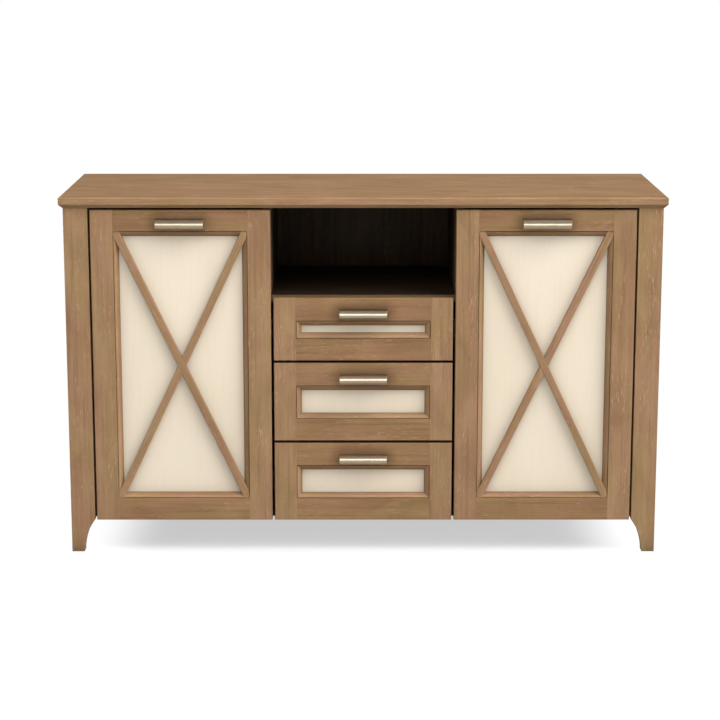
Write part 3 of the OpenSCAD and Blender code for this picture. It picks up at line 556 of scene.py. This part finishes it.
def modify(piece, kind, **settings):
    """Adds a modifier with its settings to a piece and applies it."""
    work_on(piece)
    modifier = piece.modifiers.new(kind.lower(), kind)
    for name, value in settings.items():
        setattr(modifier, name, value)
    bpy.ops.object.modifier_apply(modifier=modifier.name)


def sand(piece, width, segments=3):
    """Breaks every edge that is still sharp."""
    modify(piece, "BEVEL", width=width, segments=segments, limit_method="ANGLE",
           angle_limit=SHARP)


def carve(piece, *cutters, operation="DIFFERENCE"):
    """Takes the space of the cutters out of a piece, and throws the cutters away."""
    for cutter in cutters:
        modify(piece, "BOOLEAN", operation=operation, solver="EXACT", object=cutter)
        bpy.data.objects.remove(cutter)


def copy_of(piece):
    """A copy with a mesh of its own."""
    twin = piece.copy()
    twin.data = piece.data.copy()
    scene.collection.objects.link(twin)
    return twin


def join(pieces):
    """Makes several boards one piece, each still a closed shape of its own."""
    work_on(pieces[0])
    for piece in pieces[1:]:
        piece.select_set(True)
    bpy.ops.object.join()
    return pieces[0]


print("edges sharper than", round(math.degrees(SHARP)), "degrees get broken")

# %% [markdown]
# THE GRAIN OF EACH BOARD
# No two boards come from the same place in the tree. Each board gets the next plank: its corners
# are measured along, across and through the board, from a start that moves on for every plank.
# A board notes more for its colour: its narrow rounded faces, which filler and wear make paler
# and a painted highlight too, how deep its stain is, and how far each corner lies from the middle
# of a handle, for the painted shadow round it. The pieces below add a note named corner, which is
# near 1 where shade is painted in.

# %% Helpers that lay the grain and finish a piece
PLANK_STEP = Vector((1.931, 0.377, 0.241))
ROUNDING_FACE = 1.5 * MM
FAR_AWAY = 9
BENDS = math.radians(36)
AXES = {"x": Vector((1, 0, 0)), "y": Vector((0, 1, 0)), "z": Vector((0, 0, 1))}
planks = itertools.count(1)


def note(piece, name, measure):
    """Writes what a function measures at each corner as a vector attribute for a material."""
    mesh = piece.data
    values = []
    for loop in mesh.loops:
        values.extend(measure(mesh.vertices[loop.vertex_index].co))
    mesh.attributes.new(name, "FLOAT_VECTOR", "CORNER").data.foreach_set("vector", values)


def lay_grain(piece, along, across=AXES["y"], stain=1.0, handle=None):
    """Writes the attributes of a board: grain, arris, stain (lower is darker) and from_handle."""
    middle = sum(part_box(handle), Vector()) / 2 if handle else Vector((0, 0, FAR_AWAY))
    note(piece, "from_handle", lambda co: co - middle)
    along, across = Vector(along), Vector(across)
    through = along.cross(across)
    shift = PLANK_STEP * next(planks)
    note(piece, "grain", lambda co: Vector((co.dot(along), co.dot(across), co.dot(through))) + shift)
    mesh = piece.data
    marks = []
    for face in mesh.polygons:
        flat = max(abs(face.normal.dot(way)) for way in (along, across, through))
        points = [mesh.vertices[i].co for i in face.vertices]
        narrow = min((a - b).length for a, b in zip(points, points[1:] + points[:1]))
        marks.append(float(flat < 0.999 and narrow < ROUNDING_FACE))
    mesh.attributes.new("arris", "FLOAT", "FACE").data.foreach_set("value", marks)
    stains = [stain] * len(mesh.polygons)
    mesh.attributes.new("stain", "FLOAT", "FACE").data.foreach_set("value", stains)
    return piece


def finish(piece, node, material):
    """Smooths the roundings, gives the finish, and hangs the piece where its CAD node hangs."""
    piece.name = "made_" + node
    work_on(piece)
    bpy.ops.object.shade_smooth_by_angle(angle=BENDS)
    modify(piece, "WEIGHTED_NORMAL", keep_sharp=True)
    piece.data.materials.clear()
    piece.data.materials.append(material)
    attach(piece, frame["nodes"][node]["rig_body"])
    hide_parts(node)
    print(piece.name, len(piece.data.polygons), "faces")
    return piece


print("each plank starts", [round(step, 3) for step in PLANK_STEP], "m after the last")

# %% [markdown]
# THE TOP
# The top is one thick slab. Its upper edge is rounded a little at the front and the sides, and
# its underside has a wide chamfer, which is why it looks thin from the front. Two bevels make
# both from a blank: one with a single step for the chamfer, and one with several for the round.

# %% Make the top
TOP_CHAMFER = 9 * MM
TOP_ROUND = 3 * MM
TOP_EDGE = 0.5 * MM

top_low, top_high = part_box("top_panel")
slab = block(top_low, top_high)


def at_front_or_side(middle):
    return (middle.y < top_low.y + TINY or middle.x < top_low.x + TINY
            or middle.x > top_high.x - TINY)


soften(slab, TOP_CHAMFER, lambda middle, way: middle.z < top_low.z + TINY
       and at_front_or_side(middle), segments=1)
soften(slab, TOP_ROUND, lambda middle, way: middle.z > top_high.z - TINY
       and at_front_or_side(middle), segments=5)
sand(slab, TOP_EDGE)
lay_grain(slab, AXES["x"])
finish(slab, "top_panel", oak)

# %% [markdown]
# THE LEGS
# A leg is a square post. Below the doors its two inner faces curve in to a narrow foot, as a
# band saw leaves them. The curve could be built point by point, but it is part of a circle that
# meets the floor upright, so two large rods cut it, one for each inner face. Towards the floor
# the feet get darker: a painted shade.

# %% Make the legs
LEG_W = 61 * MM
FOOT_W = 32 * MM
FOOT_H = 86 * MM
LEG_ROUND = 2 * MM
ROD_OVER = 5 * MM
ROD_SIDES = 256
foot_in = LEG_W - FOOT_W
foot_radius = (foot_in ** 2 + FOOT_H ** 2) / (2 * foot_in)


def make_leg(node):
    low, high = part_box(node)
    middle = (low + high) / 2
    post = block(low, high)
    side = math.copysign(1, middle.x)
    end = math.copysign(1, middle.y)
    outer_x = high.x if side > 0 else low.x
    outer_y = high.y if end > 0 else low.y
    centre_x = outer_x - side * (FOOT_W + foot_radius)
    centre_y = outer_y - end * (FOOT_W + foot_radius)
    carve(post,
          rod((centre_x, low.y - ROD_OVER, 0), (centre_x, high.y + ROD_OVER, 0), foot_radius,
              ROD_SIDES),
          rod((low.x - ROD_OVER, centre_y, 0), (high.x + ROD_OVER, centre_y, 0), foot_radius,
              ROD_SIDES))
    sand(post, LEG_ROUND, 4)
    # The feet get painted shade, darker towards the floor.
    note(post, "corner", lambda co: (1 - co.z / FOOT_H, 0, 0))
    lay_grain(post, AXES["z"])
    return finish(post, node, oak)


for place in ("front_left", "front_right", "back_left", "back_right"):
    make_leg(place + "_leg")

# %% [markdown]
# THE FRAMES OF THE DOORS AND DRAWERS
# A framed front is four boards: two stiles that run its whole height, and two rails between
# them. Only the rim of the front is rounded, after the four are glued, so the rounding runs past
# the joints. The joints themselves show as a hairline, and as a turn of the grain. The rails
# took the stain more deeply than the stiles, and shade is painted on the top of the rim and the
# outer part of its rounding.

# %% Helpers for one board of a frame
FRONT_ROUND = 2.5 * MM
JOINT_EDGE = 0.22 * MM
# Painted shade on the rim of a front: its amount, and how much of the rounding it covers.
RIM_PAINTED_SHADE = 0.9
RIM_SHADE_PART = 0.7


def inset_of(co, low, high):
    """How far inside the edges of an opening or a front a point lies."""
    return min(co.x - low.x, high.x - co.x, co.z - low.z, high.z - co.z)


def painted_rim_shade(co, low, high):
    """How much shade is painted on the rim of a front: most along its top, less on the outer part
    of its rounding, and none on its face."""
    if co.z > high.z - TINY:
        return 1
    outer = inset_of(co, low, high) < RIM_SHADE_PART * FRONT_ROUND
    return RIM_PAINTED_SHADE * (outer and co.y < low.y + FRONT_ROUND + TINY)


def frame_board(low, high, whole, along, cutters=(), stain=1.0, handle=None):
    """One board of a front: its part of the rim rounded, its other edges broken."""
    board = block(low, high)
    soften(board, FRONT_ROUND, lambda middle, way: abs(middle.y - face_y) < TINY
           and inset_of(middle, *whole) < TINY)
    sand(board, JOINT_EDGE)
    carve(board, *cutters)
    # Painted shade along the rim.
    note(board, "corner", lambda co: (painted_rim_shade(co, *whole), 0, 0))
    return lay_grain(board, AXES[along], stain=stain, handle=handle)


print("the rim of a front is rounded by", FRONT_ROUND / MM, "mm")

# %% Helpers for the stiles and the rails
FRONT_T = 20 * MM
PANEL_SET_BACK = 12 * MM
GROOVE_D = 8 * MM
GROOVE_T = 4.2 * MM
GLUE = 0.1 * MM
BOLT_HEAD_R = 4.05 * MM
BOLT_HEAD_DEPTH = 3.5 * MM
POST_PITCH = 96 * MM
RAIL_STAIN = 0.89


def groove(low, high):
    """The cutter of a panel's groove, between two corners in X and Z."""
    return block((low[0], face_y + PANEL_SET_BACK, low[1]),
                 (high[0], face_y + PANEL_SET_BACK + GROOVE_T, high[1]))


def stile(low, high, whole, inner, cutters=()):
    """An upright board. inner is 1 when the panel is to its right, and -1 to its left."""
    edge = high.x if inner > 0 else low.x
    xs = sorted((edge - inner * GROOVE_D, edge + inner * MM))
    slot = groove((xs[0], low.z - MM), (xs[1], high.z + MM))
    return frame_board(low, high, whole, "z", [slot, *cutters])


def rail(low, high, whole, inner, cutters=(), handle=None):
    """A level board. inner is 1 when the panel is above it, and -1 below."""
    edge = high.z if inner > 0 else low.z
    zs = sorted((edge - inner * GROOVE_D, edge + inner * MM))
    slot = groove((low.x - MM, zs[0]), (high.x + MM, zs[1]))
    return frame_board(low, high, whole, "x", [slot, *cutters], RAIL_STAIN, handle)


def bolt_heads(handle):
    """The cutters of the two recesses for the bolts of a handle, in the back of its rail."""
    low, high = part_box(handle)
    middle = (low + high) / 2
    back = face_y + FRONT_T
    return [rod((x, back - BOLT_HEAD_DEPTH, middle.z), (x, back + MM, middle.z), BOLT_HEAD_R)
            for x in (middle.x - POST_PITCH / 2, middle.x + POST_PITCH / 2)]


def opening(front):
    """The two corners of the clear opening of a frame, which its ring of beads fills."""
    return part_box(front + "_bead")


def make_rails(front, whole):
    low, high = opening(front)
    back = face_y + FRONT_T
    lower = rail(Vector((low.x + GLUE, face_y, whole[0].z)), Vector((high.x - GLUE, back, low.z)),
                 whole, 1)
    handle = front + "_handle"
    upper = rail(Vector((low.x + GLUE, face_y, high.z)), Vector((high.x - GLUE, back, whole[1].z)),
                 whole, -1, bolt_heads(handle), handle)
    return lower, upper


print("a frame's boards are", round(FRONT_T / MM), "mm thick, round the panel's groove")

# %% [markdown]
# THE DOORS' OWN BOARDS
# The stile at the hinges is notched twice from behind, down to a thin skin, so that the hinge
# sits inside the door. The notches show when a door stands open, so they are cut here too.

# %% Make the doors' stiles and rails
NOTCH_H = 44 * MM
NOTCH_W = 13.6 * MM
NOTCH_SKIN = 3.4 * MM
CUP_GAP = 0.3 * MM


def hinge_notches(door, side):
    """The cutters of a door's two hinge notches, placed from the cups that they hold."""
    low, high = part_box(door + "_hinge_cups")
    stile_low, stile_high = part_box(door + "_hinge_stile")
    edge = stile_high.x if side > 0 else stile_low.x
    xs = sorted((edge - side * NOTCH_W, edge + side * MM))
    bottoms = (low.z - CUP_GAP, high.z + CUP_GAP - NOTCH_H)
    return [block((xs[0], face_y + NOTCH_SKIN, z), (xs[1], face_y + FRONT_T + MM, z + NOTCH_H))
            for z in bottoms]


DOORS = ("left_door", "right_door")

for door, side in zip(DOORS, (-1, 1)):
    hinge_low, hinge_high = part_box(door + "_hinge_stile")
    latch_low, latch_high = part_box(door + "_latch_stile")
    whole = (Vector(map(min, hinge_low, latch_low)), Vector(map(max, hinge_high, latch_high)))
    hinge_stile = stile(hinge_low, hinge_high, whole, -side, hinge_notches(door, side))
    finish(hinge_stile, door + "_hinge_stile", oak)
    latch_stile = stile(latch_low, latch_high, whole, side)
    finish(latch_stile, door + "_latch_stile", oak)
    finish(join(make_rails(door, whole)), door + "_rails", oak)

# %% [markdown]
# THE DRAWER FRONTS
# A drawer front is framed like a door, but its four boards are one part of the model, so they
# are joined into one piece. Each keeps the grain of its own plank.

# %% Make the drawer fronts
DRAWERS = ("upper_drawer", "middle_drawer", "lower_drawer")
FRONTS = (*DOORS, *DRAWERS)

for drawer in DRAWERS:
    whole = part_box(drawer + "_front_frame")
    low, high = opening(drawer)
    back = face_y + FRONT_T
    left = stile(whole[0], Vector((low.x, back, whole[1].z)), whole, 1)
    right = stile(Vector((high.x, face_y, whole[0].z)), Vector((whole[1].x, back, whole[1].z)),
                  whole, -1)
    finish(join([left, right, *make_rails(drawer, whole)]), drawer + "_front_frame", oak)

# %% [markdown]
# THE BEADS
# A thin moulding holds each panel in its frame. From the frame inwards it has a narrow quirk and
# a face that slopes and rounds down to the panel, and its corners are mitred. Four could be
# modelled one by one, but a ring comes first: a blank as large as the opening, whose face is
# inset again and again to draw the profile. Then the ring is sawn at its mitres. Shade is painted
# into the quirk, which draws a thin dark line round each bead, and some of it at the panel.

# %% Model the ring of a bead
QUIRK_W = 1.2 * MM
QUIRK_D = 3 * MM
BEAD_DROP = 0.5 * MM
BEAD_CREST = 0.5 * MM
BEAD_W = 14 * MM
BEAD_TOE = 1 * MM
BEAD_TILT = math.radians(38)
BEAD_STEPS = 8


def bead_ring(low, high):
    """The closed ring of a bead, still in one piece."""
    back = face_y + PANEL_SET_BACK
    ring = block((low.x, face_y + QUIRK_D, low.z), (high.x, back, high.z))
    choose(ring, faces=lambda centre, normal: normal.y < -0.9)
    whole = math.cos(BEAD_TILT) - math.sin(BEAD_TILT)
    round_w = (BEAD_W - QUIRK_W - BEAD_CREST) / whole
    round_d = (PANEL_SET_BACK - BEAD_TOE - BEAD_DROP) / whole
    bpy.ops.mesh.inset(thickness=QUIRK_W, depth=0)
    bpy.ops.mesh.inset(thickness=0, depth=QUIRK_D - BEAD_DROP)
    bpy.ops.mesh.inset(thickness=BEAD_CREST, depth=0)
    turns = [BEAD_TILT + (math.pi / 2 - 2 * BEAD_TILT) * i / BEAD_STEPS
             for i in range(BEAD_STEPS + 1)]
    for start, end in zip(turns, turns[1:]):
        bpy.ops.mesh.inset(thickness=round_w * (math.sin(end) - math.sin(start)),
                           depth=-round_d * (math.cos(start) - math.cos(end)))
    bpy.ops.mesh.delete(type="FACE")
    bpy.ops.object.mode_set(mode="OBJECT")
    choose(ring, faces=lambda centre, normal: normal.y > 0.9)
    bpy.ops.mesh.inset(thickness=BEAD_W, depth=0)
    bpy.ops.mesh.delete(type="FACE")
    bpy.ops.object.mode_set(mode="OBJECT")

    def on_inner_rim(middle, way):
        inside = inset_of(middle, low, high)
        return abs(inside - BEAD_W) < TINY and middle.y > back - BEAD_TOE - TINY

    choose(ring, edges=on_inner_rim)
    bpy.ops.mesh.bridge_edge_loops()
    leave_closed()
    return ring


print("a bead is", round(BEAD_W / MM), "mm wide")

# %% Make the beads
BEAD_EDGE = 0.35 * MM
IN_QUIRK = 1.12


def in_corner(inset):
    """How much shade is painted on a bead: most in the quirk and on the crest, then up to 1 at the
    panel.
    """
    return IN_QUIRK if inset < QUIRK_W + BEAD_CREST + TINY else inset / BEAD_W


def bead_strips(ring, low, high, handle):
    """Saws a copy of the ring into each of its four mitred strips."""
    middle = (low + high) / 2
    corners = {(sx, sz): Vector((high.x if sx > 0 else low.x, 0, high.z if sz > 0 else low.z))
               for sx in (-1, 1) for sz in (-1, 1)}
    strips = []
    for axis, end in (("x", -1), ("x", 1), ("z", -1), ("z", 1)):
        strip = copy_of(ring)
        out = AXES["z" if axis == "x" else "x"] * end
        saw(strip, middle, -out)
        for way in (-1, 1):
            sign = (way, end) if axis == "x" else (end, way)
            normal = (AXES[axis] * way - out).normalized()
            saw(strip, corners[sign] - normal * GLUE, normal)
        sand(strip, BEAD_EDGE)
        # Painted shade on each strip, in the quirk and towards the panel.
        note(strip, "corner", lambda co: (in_corner(inset_of(co, low, high)), 0, 0))
        strips.append(lay_grain(strip, AXES[axis], handle=handle))
    return strips


def make_bead(front):
    low, high = opening(front)
    ring = bead_ring(low, high)
    strips = bead_strips(ring, low, high, front + "_handle")
    finish(join(strips), front + "_bead", oak)
    return ring


rings = {front: make_bead(front) for front in FRONTS}

# %% [markdown]
# THE CROSSED BARS
# Two flat bars cross over each door's panel, nearly from corner to corner. The falling one is
# whole, and the rising one is two halves that meet it. Each is a blank turned to its slope,
# sawn off along the four sides of the opening, rounded along its front edges, and scribed over
# the bead, for which the uncut ring of the bead serves as the cutter. Shade is painted on its
# sides, darker towards the panel.

# %% Make the crossed bars
BAR_DROP = 1 * MM
BAR_INSET = 9 * MM
BAR_ROUND = 1.6 * MM
# Painted shade on a bar's sides: full this deep below its face.
BAR_SHADE_DEPTH = 5 * MM
BESIDE_BAR = 1.06


def bar_reach(low, high):
    """How far a bar runs across an opening and up it."""
    return high - low - 2 * BAR_INSET * Vector((1, 0, 1))


def make_cross_bars(door):
    low, high = opening(door)
    centre = (low + high) / 2
    bar_face = face_y + BAR_DROP
    centre.y = face_y + (BAR_DROP + PANEL_SET_BACK) / 2
    reach = bar_reach(low, high)
    falling_normal = Vector((reach.z, 0, reach.x)).normalized()
    bars = []
    for way in (-1, 1):
        slope = way * math.atan2(reach.z, reach.x)
        along = Vector((math.cos(slope), 0, math.sin(slope)))
        for half in ((0,) if way < 0 else (-1, 1)):
            bpy.ops.object.select_all(action="DESELECT")
            bpy.ops.mesh.primitive_cube_add(
                size=1, location=centre, rotation=(0, -slope, 0),
                scale=(2 * (high - low).length, PANEL_SET_BACK - BAR_DROP, BAR_W))
            bar = settled()
            if half:
                saw(bar, centre + falling_normal * half * (BAR_W / 2 + GLUE),
                    -half * falling_normal)
            saw(bar, low, (-1, 0, 0))
            saw(bar, high, (1, 0, 0))
            saw(bar, low, (0, 0, -1))
            saw(bar, high, (0, 0, 1))
            soften(bar, BAR_ROUND, lambda middle, direction: abs(direction.dot(along)) > 0.999
                   and middle.y < bar_face + TINY)
            carve(bar, copy_of(rings[door]))
            sand(bar, JOINT_EDGE)
            # Painted shade on the bar's sides, darker towards the panel.
            note(bar, "corner", lambda co: (min(BESIDE_BAR, (co.y - bar_face) / BAR_SHADE_DEPTH), 0, 0))
            bars.append(lay_grain(bar, along))
    finish(join(bars), door + "_cross_bars", oak)


for door in DOORS:
    make_cross_bars(door)
for ring in rings.values():
    bpy.data.objects.remove(ring)

# %% [markdown]
# THE PANELS
# Behind the beads lies a thin painted board. Its edges are out of sight in the grooves, so
# broken edges are enough, and the paint does the rest. Shade is painted into it towards the
# beads and the bars, so each corner of its front notes how far it is from them, and the paint
# reads that in between. Its back is plain, so those corners note that everything is far away.

# %% Make the panels
PANEL_EDGE = 0.4 * MM


def from_bars(front, low, high):
    """Two functions that measure how far a point is from the middles of the two bars."""
    if front in DRAWERS:
        return (lambda co: FAR_AWAY,) * 2
    middle = (low + high) / 2
    reach = bar_reach(low, high)
    normals = [Vector((reach.z, 0, way * reach.x)).normalized() for way in (1, -1)]
    return [lambda co, normal=normal: (co - middle).dot(normal) for normal in normals]


def note_on_front(panel, name, measure):
    """Notes a measure on the front of a panel, and on its back that all is far away."""
    middle_y = sum(vertex.co.y for vertex in panel.data.vertices) / len(panel.data.vertices)
    note(panel, name, lambda co: measure(co) if co.y < middle_y else (FAR_AWAY,) * 3)


for front in FRONTS:
    panel = block(*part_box(front + "_panel"))
    sand(panel, PANEL_EDGE)
    low, high = opening(front)
    falling, rising = from_bars(front, low, high)
    rim = Vector((BEAD_W, 0, BEAD_W))
    low, high = low + rim, high - rim
    # These notes place the painted shade near the beads and the bars.
    note_on_front(panel, "from_sides", lambda co: (co.x - low.x, high.x - co.x, falling(co)))
    note_on_front(panel, "from_ends", lambda co: (co.z - low.z, high.z - co.z, rising(co)))
    finish(panel, front + "_panel", cream)

# %% [markdown]
# THE HANDLES
# A handle is a half-round bar on two posts. The bar is a rod sawn in half lengthwise, flat at
# the back, with its ends rounded over. The posts run into it from behind.

# %% Make the handles
HANDLE_EDGE = 0.7 * MM
HANDLE_END = 1.5 * MM
POST_R = 5 * MM
BAR_SIDES = 96


def make_handle(front):
    low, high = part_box(front + "_handle")
    radius = (high.z - low.z) / 2
    flat_y = low.y + radius
    middle = (low + high) / 2
    bar = rod((low.x, flat_y, middle.z), (high.x, flat_y, middle.z), radius, BAR_SIDES)
    soften(bar, HANDLE_END, lambda middle, way: abs(way.x) < 0.5, 4)
    saw(bar, (0, flat_y, 0), (0, 1, 0))
    sand(bar, HANDLE_EDGE)
    for x in (middle.x - POST_PITCH / 2, middle.x + POST_PITCH / 2):
        post = rod((x, flat_y - radius / 2, middle.z), (x, high.y, middle.z), POST_R)
        carve(bar, post, operation="UNION")
    finish(bar, front + "_handle", nickel)


for front in FRONTS:
    make_handle(front)

# %% [markdown]
# THE DRAWER BOXES
# Behind each drawer front is a box of four walls round a thin floor. It shows when a drawer is
# pulled out, and its walls have their grain along them, so it is made of boards too.

# %% Make the drawer boxes
WALL_T = 12 * MM
FLOOR_T = 5.8 * MM
FLOOR_LIFT = 10 * MM
FLOOR_GROOVE = 5 * MM
BOX_EDGE = 0.6 * MM


def box_board(low, high, along):
    board = block(low, high)
    sand(board, BOX_EDGE)
    return lay_grain(board, AXES[along])


def make_drawer_box(drawer):
    low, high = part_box(drawer + "_box")
    inner = (low.x + WALL_T + GLUE, high.x - WALL_T - GLUE)
    floor_low = Vector((inner[0] - FLOOR_GROOVE, low.y + WALL_T - FLOOR_GROOVE,
                        low.z + FLOOR_LIFT + GLUE))
    floor_high = Vector((inner[1] + FLOOR_GROOVE, high.y - WALL_T + FLOOR_GROOVE,
                         floor_low.z + FLOOR_T))
    boards = [
        box_board(low, (low.x + WALL_T, high.y, high.z), "y"),
        box_board((high.x - WALL_T, low.y, low.z), high, "y"),
        box_board((inner[0], low.y, low.z), (inner[1], low.y + WALL_T, high.z), "x"),
        box_board((inner[0], high.y - WALL_T, low.z), (inner[1], high.y, high.z), "x"),
        box_board(floor_low, floor_high, "x"),
    ]
    finish(join(boards), drawer + "_box", black)


for drawer in DRAWERS:
    make_drawer_box(drawer)

# %% [markdown]
# THE PARTS THAT KEEP THEIR SHAPE
# The panels of the carcass, the shelves and all the metal fittings are already right. They only
# need a finish, with the grain of each board along its own length. The boards beside the niche
# get the one whose front edge is lighter: an edge strip in the stain of the fronts on the niche's
# floor, and on its walls a painted light that fades from the front inwards.

# %% Finish the parts that keep their shape
FINISHES = {
    oak_upright: ("left_side_panel", "right_side_panel"),
    black_by_axis["z"]: ("back_panel",),
    lipped_and_lit_black["z"]: ("left_partition", "right_partition"),
    black_by_axis["y"]: ("left_shelf", "right_shelf"),
    black_by_axis["x"]: ("bottom_panel", "back_rail"),
    lipped_and_lit_black["x"]: ("niche_shelf",),
    black_plastic: ("leg_glides", "door_catches"),
}
given = {node: material for material, nodes in FINISHES.items() for node in nodes}
for node, piece in frame["nodes"].items():
    for holder in piece.material_slots:
        holder.material = given.get(node, dark_steel)
print(len(given), "parts finished by name, the rest are blackened steel")

# %% [markdown]
# THE FLOOR
# The floor is a plain pale sweep that reads as white. More light would bleach it, but would
# bleach the sideboard too. Instead the floor glows where the camera looks at it: least under
# the sideboard, which paints a soft shadow there over its real one, and more the farther from
# it, until it is white.
# What the floor throws back on the wood isn't changed by that: it stays a plain dull surface.

# %% Lay the floor
FLOOR_SIZE = 60
FLOOR_COLOUR = (0.27, 0.27, 0.27, 1)
FLOOR_SHOWN = (0.54, 0.54, 0.54, 1)
# The glow under the sideboard, kept low so that it paints a soft shadow there.
PAINTED_SHADOW_GLOW = 0.545
WHITE = 1.02
INSIDE = (0.47, 0.15, 0)
FADE = (0.31, 0.27, 1)

bpy.ops.object.select_all(action="DESELECT")
bpy.ops.mesh.primitive_plane_add(size=FLOOR_SIZE, location=(0, 0, 0))
floor = bpy.context.active_object
floor.name = "floor"
material, tree = new_material("pale_floor")
past = object_place(tree)
for operation, other in (("ABSOLUTE", {}), ("SUBTRACT", {1: INSIDE}), ("MAXIMUM", {1: (0, 0, 0)}),
                         ("DIVIDE", {1: FADE})):
    past = add(tree, "ShaderNodeVectorMath", {0: past, **other}, operation=operation).outputs[0]
past = add(tree, "ShaderNodeVectorMath", {0: past}, operation="LENGTH").outputs["Value"]
away = between(tree, past, 0, 1)
level = between(tree, away, 0, 1, PAINTED_SHADOW_GLOW, WHITE)
matte = add(tree, "ShaderNodeBsdfDiffuse", {"Color": FLOOR_COLOUR})
dim = blend(tree, away, FLOOR_SHOWN, (0, 0, 0, 1))
shaded = add(tree, "ShaderNodeBsdfDiffuse", {"Color": dim})
glow = add(tree, "ShaderNodeEmission", {"Color": (1, 1, 1, 1), "Strength": level})
shown = add(tree, "ShaderNodeAddShader", {0: shaded.outputs[0], 1: glow.outputs[0]})
surface = add(tree, "ShaderNodeMixShader",
              {0: seen_directly(tree), 1: matte.outputs[0], 2: shown.outputs[0]})
add(tree, "ShaderNodeOutputMaterial", {"Surface": surface.outputs[0]})
floor.data.materials.append(material)
print("floor", FLOOR_SIZE, "m wide")

# %% [markdown]
# THE LIGHT
# Two large soft lamps stand far to the right. They make the left edges of the openings bright
# and the right ones dark, and throw soft shadows to the left and down. A weak one on the left
# and the white surroundings fill in the rest. Two lamps near the front lift the faces that look
# at the camera. They don't show in gloss, because their shapes would be drawn on the handles.

# %% Light the scene
AMBIENT = 0.10
AIM = Vector((0, face_y, 0.5))


def lamp(name, azimuth, elevation, distance, size, power, in_gloss=True):
    """A soft square lamp that looks at the sideboard. Azimuth 0 is the front, 90 the right."""
    a, e = math.radians(azimuth), math.radians(elevation)
    way = Vector((math.sin(a) * math.cos(e), -math.cos(a) * math.cos(e), math.sin(e)))
    light = bpy.data.lights.new(name, "AREA")
    light.shape = "RECTANGLE"
    light.size, light.size_y = size
    light.energy = power
    holder = bpy.data.objects.new(name, light)
    holder.location = AIM + way * distance
    holder.rotation_euler = way.to_track_quat("Z", "Y").to_euler()
    holder.visible_camera = False
    holder.visible_glossy = in_gloss
    scene.collection.objects.link(holder)
    print(name, [round(c, 2) for c in holder.location], power, "W")


FAR = 16.0
BROAD = (8.0, 8.0)
lamp("key_lamp", 64, 50, FAR, BROAD, 1800)
lamp("side_lamp", 72, 15, FAR, BROAD, 1000)
lamp("high_front_lamp", -8, 51, 3.6, (2.6, 2.0), 46, False)
lamp("low_front_lamp", 0, 4, 2.9, (2.4, 0.9), 19, False)
lamp("left_lamp", -60, 20, FAR, BROAD, 210)

world = bpy.data.worlds.new("studio")
scene.world = world
world.use_nodes = True
tree = world.node_tree
tree.nodes.clear()
strength = between(tree, seen_directly(tree), 0, 1, AMBIENT, 1.0)
sky = add(tree, "ShaderNodeBackground", {"Color": (1, 1, 1, 1), "Strength": strength})
add(tree, "ShaderNodeOutputWorld", {"Surface": sky.outputs[0]})
print("ambient", AMBIENT)

# %% [markdown]
# THE BOARDS
# Metal shows what stands round it. Under a white sky a handle would be one pale bar, so
# photographers hang a dim board above the set, and stand a bright one low in front of it. Only
# gloss sees these two: they give the handles a dark upper part and a bright line along the
# middle, and take the white sheen off the top. They light nothing else.

# %% Hang the boards
NEAR_Y = -0.5
FAR_Y = 3.0
CEILING_SIZE = (30, 27)
CEILING_FRONT = -4.6
CEILING_Z = (3.2, 1.0)
CEILING_LEVEL = (0.50, 0.15)
CEILING_COLOUR = (1, 0.9, 0.82)
CARD_SIZE = (2.4, 0.95)
CARD_PLACE = (0, face_y - 2.8, 0.5)
CARD_LEVEL = 7.0
CARD_COLOUR = (1, 0.96, 0.9)


def board_seen_in_gloss(name, size, middle, tilt, colour, near_level, far_level):
    """A glowing board, whose level goes from the near one at NEAR_Y to the far one at FAR_Y."""
    bpy.ops.object.select_all(action="DESELECT")
    bpy.ops.mesh.primitive_plane_add(size=1, location=middle, rotation=(tilt, 0, 0))
    bpy.context.active_object.scale = (*size, 1)
    board = settled()
    board.name = name
    material, tree = new_material(name + "_glow")
    depth = axes_of(tree, object_place(tree))["Y"]
    level = between(tree, depth, NEAR_Y, FAR_Y, near_level, far_level)
    glow = add(tree, "ShaderNodeEmission", {"Color": (*colour, 1), "Strength": level})
    add(tree, "ShaderNodeOutputMaterial", {"Surface": glow.outputs[0]})
    board.data.materials.append(material)
    for rays in ("camera", "diffuse", "transmission", "shadow"):
        setattr(board, "visible_" + rays, False)
    print(name, size, "m at", [round(c, 2) for c in middle])


ceiling_middle = (0, CEILING_FRONT + CEILING_SIZE[1] / 2, sum(CEILING_Z) / 2)
ceiling_tilt = math.atan2(CEILING_Z[1] - CEILING_Z[0], CEILING_SIZE[1])
board_seen_in_gloss("ceiling", CEILING_SIZE, ceiling_middle, ceiling_tilt, CEILING_COLOUR,
                    *CEILING_LEVEL)
board_seen_in_gloss("card", CARD_SIZE, CARD_PLACE, math.pi / 2, CARD_COLOUR,
                    CARD_LEVEL, CARD_LEVEL)
